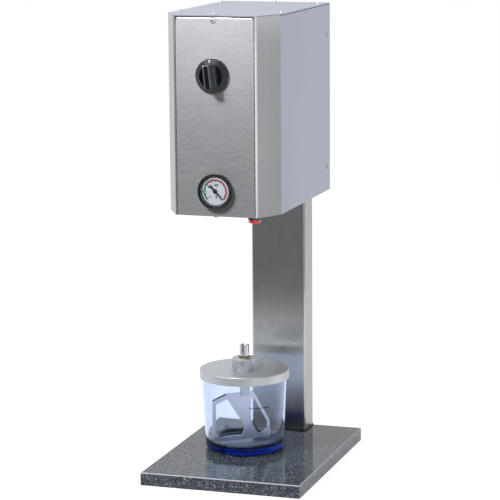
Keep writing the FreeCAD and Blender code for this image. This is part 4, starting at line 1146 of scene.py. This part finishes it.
def add_paddle_lip():
    """The shoulder is folded back into a short lip, painted dark as a thick edge of painted shade."""
    run, rise = (b - a for a, b in zip(SHOULDER_LOW, SHOULDER_HIGH))
    lip = block((hypot(run, rise) - 1.0 * MM, LIP_DEPTH, LIP_THICK), (0, 0, -0.5 * MM))
    bevel(lip, 0.25 * MM)
    smooth(lip)
    slope = Matrix.Rotation(-atan2(rise, run), 4, "Y")
    middle = [(a + b) / 2 for a, b in zip(SHOULDER_LOW, SHOULDER_HIGH)]
    along = Matrix.Translation((middle[0], 0, middle[1]))
    plane = Matrix.Translation((*axis, 0)) @ rotation(PADDLE_TURN, "Z")
    lip.data.transform(plane @ along @ slope)
    finish_piece(lip, "paddle_fold_painted_shade", "mixer", "paddle_painted_shade")


def dress_lid():
    dressed("lid", "aluminium", 0.35 * MM, 3)
    dressed("lid_seal", "rubber", 0.2 * MM, 1)
    dressed("shaft_bush", "bronze", 0.2 * MM)
    dressed("shaft_ring", "gloss_black", 0.2 * MM)
    dressed("mixer_shaft", "steel", 0.2 * MM)
    dress_paddle()
    add_paddle_lip()
    add_vent_shade()


# Floor, sky, cards and lamps. Where the floor is seen, it glows a little and takes a little shade.
FLOOR_GLOW = 0.86
FLOOR_SHADE = 0.34
UPRIGHT = radians(90)


def seen_rays(tree):
    """Camera, glossy and transmission rays as one value."""
    path = tree.nodes.new("ShaderNodeLightPath")
    value = path.outputs["Is Camera Ray"]
    for kind in ("Is Glossy Ray", "Is Transmission Ray"):
        either = tree.nodes.new("ShaderNodeMath")
        either.operation = "MAXIMUM"
        tree.links.new(value, either.inputs[0])
        tree.links.new(path.outputs[kind], either.inputs[1])
        value = either.outputs[0]
    return value


def add_floor():
    """White where it is seen unshaded, and a little darker in the object's shadow."""
    bpy.ops.mesh.primitive_plane_add(size=80)
    floor = bpy.context.object
    floor.name = "floor"
    material = bpy.data.materials.new("floor_white")
    material.use_nodes = True
    tree = material.node_tree
    join = tree.links.new
    shader = tree.nodes["Principled BSDF"]
    shader.inputs["Base Color"].default_value = (0.93, 0.93, 0.93, 1)
    shader.inputs["Roughness"].default_value = 0.9
    shader.inputs["Specular IOR Level"].default_value = 0.0
    glow = tree.nodes.new("ShaderNodeEmission")
    glow.inputs["Strength"].default_value = FLOOR_GLOW
    part_lit = tree.nodes.new("ShaderNodeMixShader")
    part_lit.inputs[0].default_value = FLOOR_SHADE
    join(shader.outputs[0], part_lit.inputs[2])
    both = tree.nodes.new("ShaderNodeAddShader")
    join(part_lit.outputs[0], both.inputs[0])
    join(glow.outputs[0], both.inputs[1])
    mix = tree.nodes.new("ShaderNodeMixShader")
    join(seen_rays(tree), mix.inputs[0])
    join(shader.outputs[0], mix.inputs[1])
    join(both.outputs[0], mix.inputs[2])
    join(mix.outputs[0], tree.nodes["Material Output"].inputs["Surface"])
    floor.data.materials.append(material)


def add_sky():
    world = bpy.data.worlds.new("sky")
    scene.world = world
    world.use_nodes = True
    tree = world.node_tree
    lit = tree.nodes["Background"]
    lit.inputs["Color"].default_value = (0.95, 0.97, 1.0, 1)
    lit.inputs["Strength"].default_value = 0.45
    seen = tree.nodes.new("ShaderNodeBackground")
    seen.inputs["Color"].default_value = (1, 1, 1, 1)
    seen.inputs["Strength"].default_value = 1.0
    mix = tree.nodes.new("ShaderNodeMixShader")
    tree.links.new(seen_rays(tree), mix.inputs[0])
    tree.links.new(lit.outputs[0], mix.inputs[1])
    tree.links.new(seen.outputs[0], mix.inputs[2])
    tree.links.new(mix.outputs[0], tree.nodes["World Output"].inputs["Surface"])


def add_card(name, centre, size, turn, axis_name, stops):
    """A dim board beside the camera that only the metal's reflections show."""
    bpy.ops.mesh.primitive_plane_add(size=1, rotation=turn, location=centre)
    card = bpy.context.object
    card.name = name
    card.scale = (*size, 1)
    apply_place(card)
    material = bpy.data.materials.new(name)
    material.use_nodes = True
    tree = material.node_tree
    join = tree.links.new
    tree.nodes.remove(tree.nodes["Principled BSDF"])
    glow = tree.nodes.new("ShaderNodeEmission")
    coordinates = tree.nodes.new("ShaderNodeTexCoord")
    parts = tree.nodes.new("ShaderNodeSeparateXYZ")
    join(coordinates.outputs["Object"], parts.inputs[0])
    reach = tree.nodes.new("ShaderNodeMapRange")
    start, end = stops[0][0], stops[-1][0]
    reach.inputs["From Min"].default_value = start
    reach.inputs["From Max"].default_value = end
    join(parts.outputs[axis_name], reach.inputs["Value"])
    ramp = tree.nodes.new("ShaderNodeValToRGB")
    points = ramp.color_ramp.elements
    while len(points) < len(stops):
        points.new(0.5)
    most = max(light for place, light in stops)
    glow.inputs["Strength"].default_value = most
    for point, (place, light) in zip(points, stops):
        point.position = (place - start) / (end - start)
        point.color = (light / most, light / most, light / most, 1)
    join(reach.outputs[0], ramp.inputs[0])
    join(ramp.outputs[0], glow.inputs["Color"])
    join(glow.outputs[0], tree.nodes["Material Output"].inputs["Surface"])
    card.data.materials.append(material)
    card.visible_camera = card.visible_diffuse = False
    card.visible_transmission = card.visible_shadow = False


def add_cards():
    """Each card's brightness runs along one axis, from stop to stop, in metres."""
    add_card(
        "column_card", (-0.42, -0.60, 0.135), (1.56, 0.27), (UPRIGHT, 0, 0), "Z",
        [(0.0, 0.95), (0.014, 0.6), (0.03, 0.2), (0.05, 0.05), (0.13, 0.22), (0.27, 0.16)],
    )
    add_card(
        "panel_card", (-0.56, -0.60, 0.575), (1.22, 0.61), (UPRIGHT, 0, 0), "Z",
        [(0.27, 0.0), (0.39, 0.0), (0.44, 0.02), (0.50, 0.13), (0.57, 0.43), (0.88, 0.58)],
    )
    add_card(
        "bend_card", (0.24, -0.60, 0.42), (0.36, 0.30), (UPRIGHT, 0, 0), "Z",
        [(0.27, 2.0), (0.57, 2.6)],
    )
    add_card(
        "right_card", (0.40, -0.32, 0.35), (0.50, 1.00), (0, UPRIGHT, 0), "Y",
        [(-0.57, 1.3), (-0.36, 1.3), (-0.24, 0.66), (-0.07, 0.36)],
    )
    add_card(
        "low_card", (0.36, 0.12, 0.09), (0.14, 0.26), (0, UPRIGHT, 0), "Y",
        [(0.0, 1.8), (0.2, 1.8)],
    )
    add_card(
        "top_card", (-0.35, -0.45, 1.30), (0.9, 0.6), (0, 0, 0), "Y",
        [(-0.75, 3.8), (-0.15, 3.8)],
    )


def add_lamp(name, place, target, size, watts, colour=WHITE, in_gloss=False):
    data = bpy.data.lights.new(name, "AREA")
    data.shape, data.size, data.size_y = "RECTANGLE", size[0], size[1]
    data.energy, data.color = watts, colour
    lamp = bpy.data.objects.new(name, data)
    scene.collection.objects.link(lamp)
    lamp.location = place
    lamp.rotation_euler = (Vector(target) - Vector(place)).to_track_quat("-Z", "Y").to_euler()
    lamp.visible_glossy = in_gloss
    return lamp


def add_lamps():
    middle, key_place = (0, 0, 0.35), (-1.2, -1.6, 2.0)
    add_lamp("key", key_place, middle, (0.4, 0.4), 24, in_gloss=True)
    panel_place, panel_target = (-0.49, -1.30, 1.50), (0, -0.165, 0.55)
    spark = add_lamp("panel_key", panel_place, panel_target, (0.2, 0.2), 16, in_gloss=True)
    spark.visible_diffuse = spark.visible_transmission = False
    add_lamp("key_body", key_place, middle, (0.9, 0.9), 26)
    add_lamp("left_softbox", (-1.9, -0.6, 1.0), middle, (1.0, 1.4), 9)
    add_lamp("right_softbox", (2.0, 0.2, 1.0), middle, (1.0, 1.6), 8, (0.92, 0.95, 1.0))


add_camera()
finish_cad_nodes()
dress_case()
dress_panel()
paint_joint_shade()
add_case_screws()
dress_switch()
dress_gauge()
dress_button()
dress_bowl()
print_fill_line()
dress_lid()
add_floor()
add_sky()
add_cards()
add_lamps()

scene.view_settings.view_transform = "Standard"
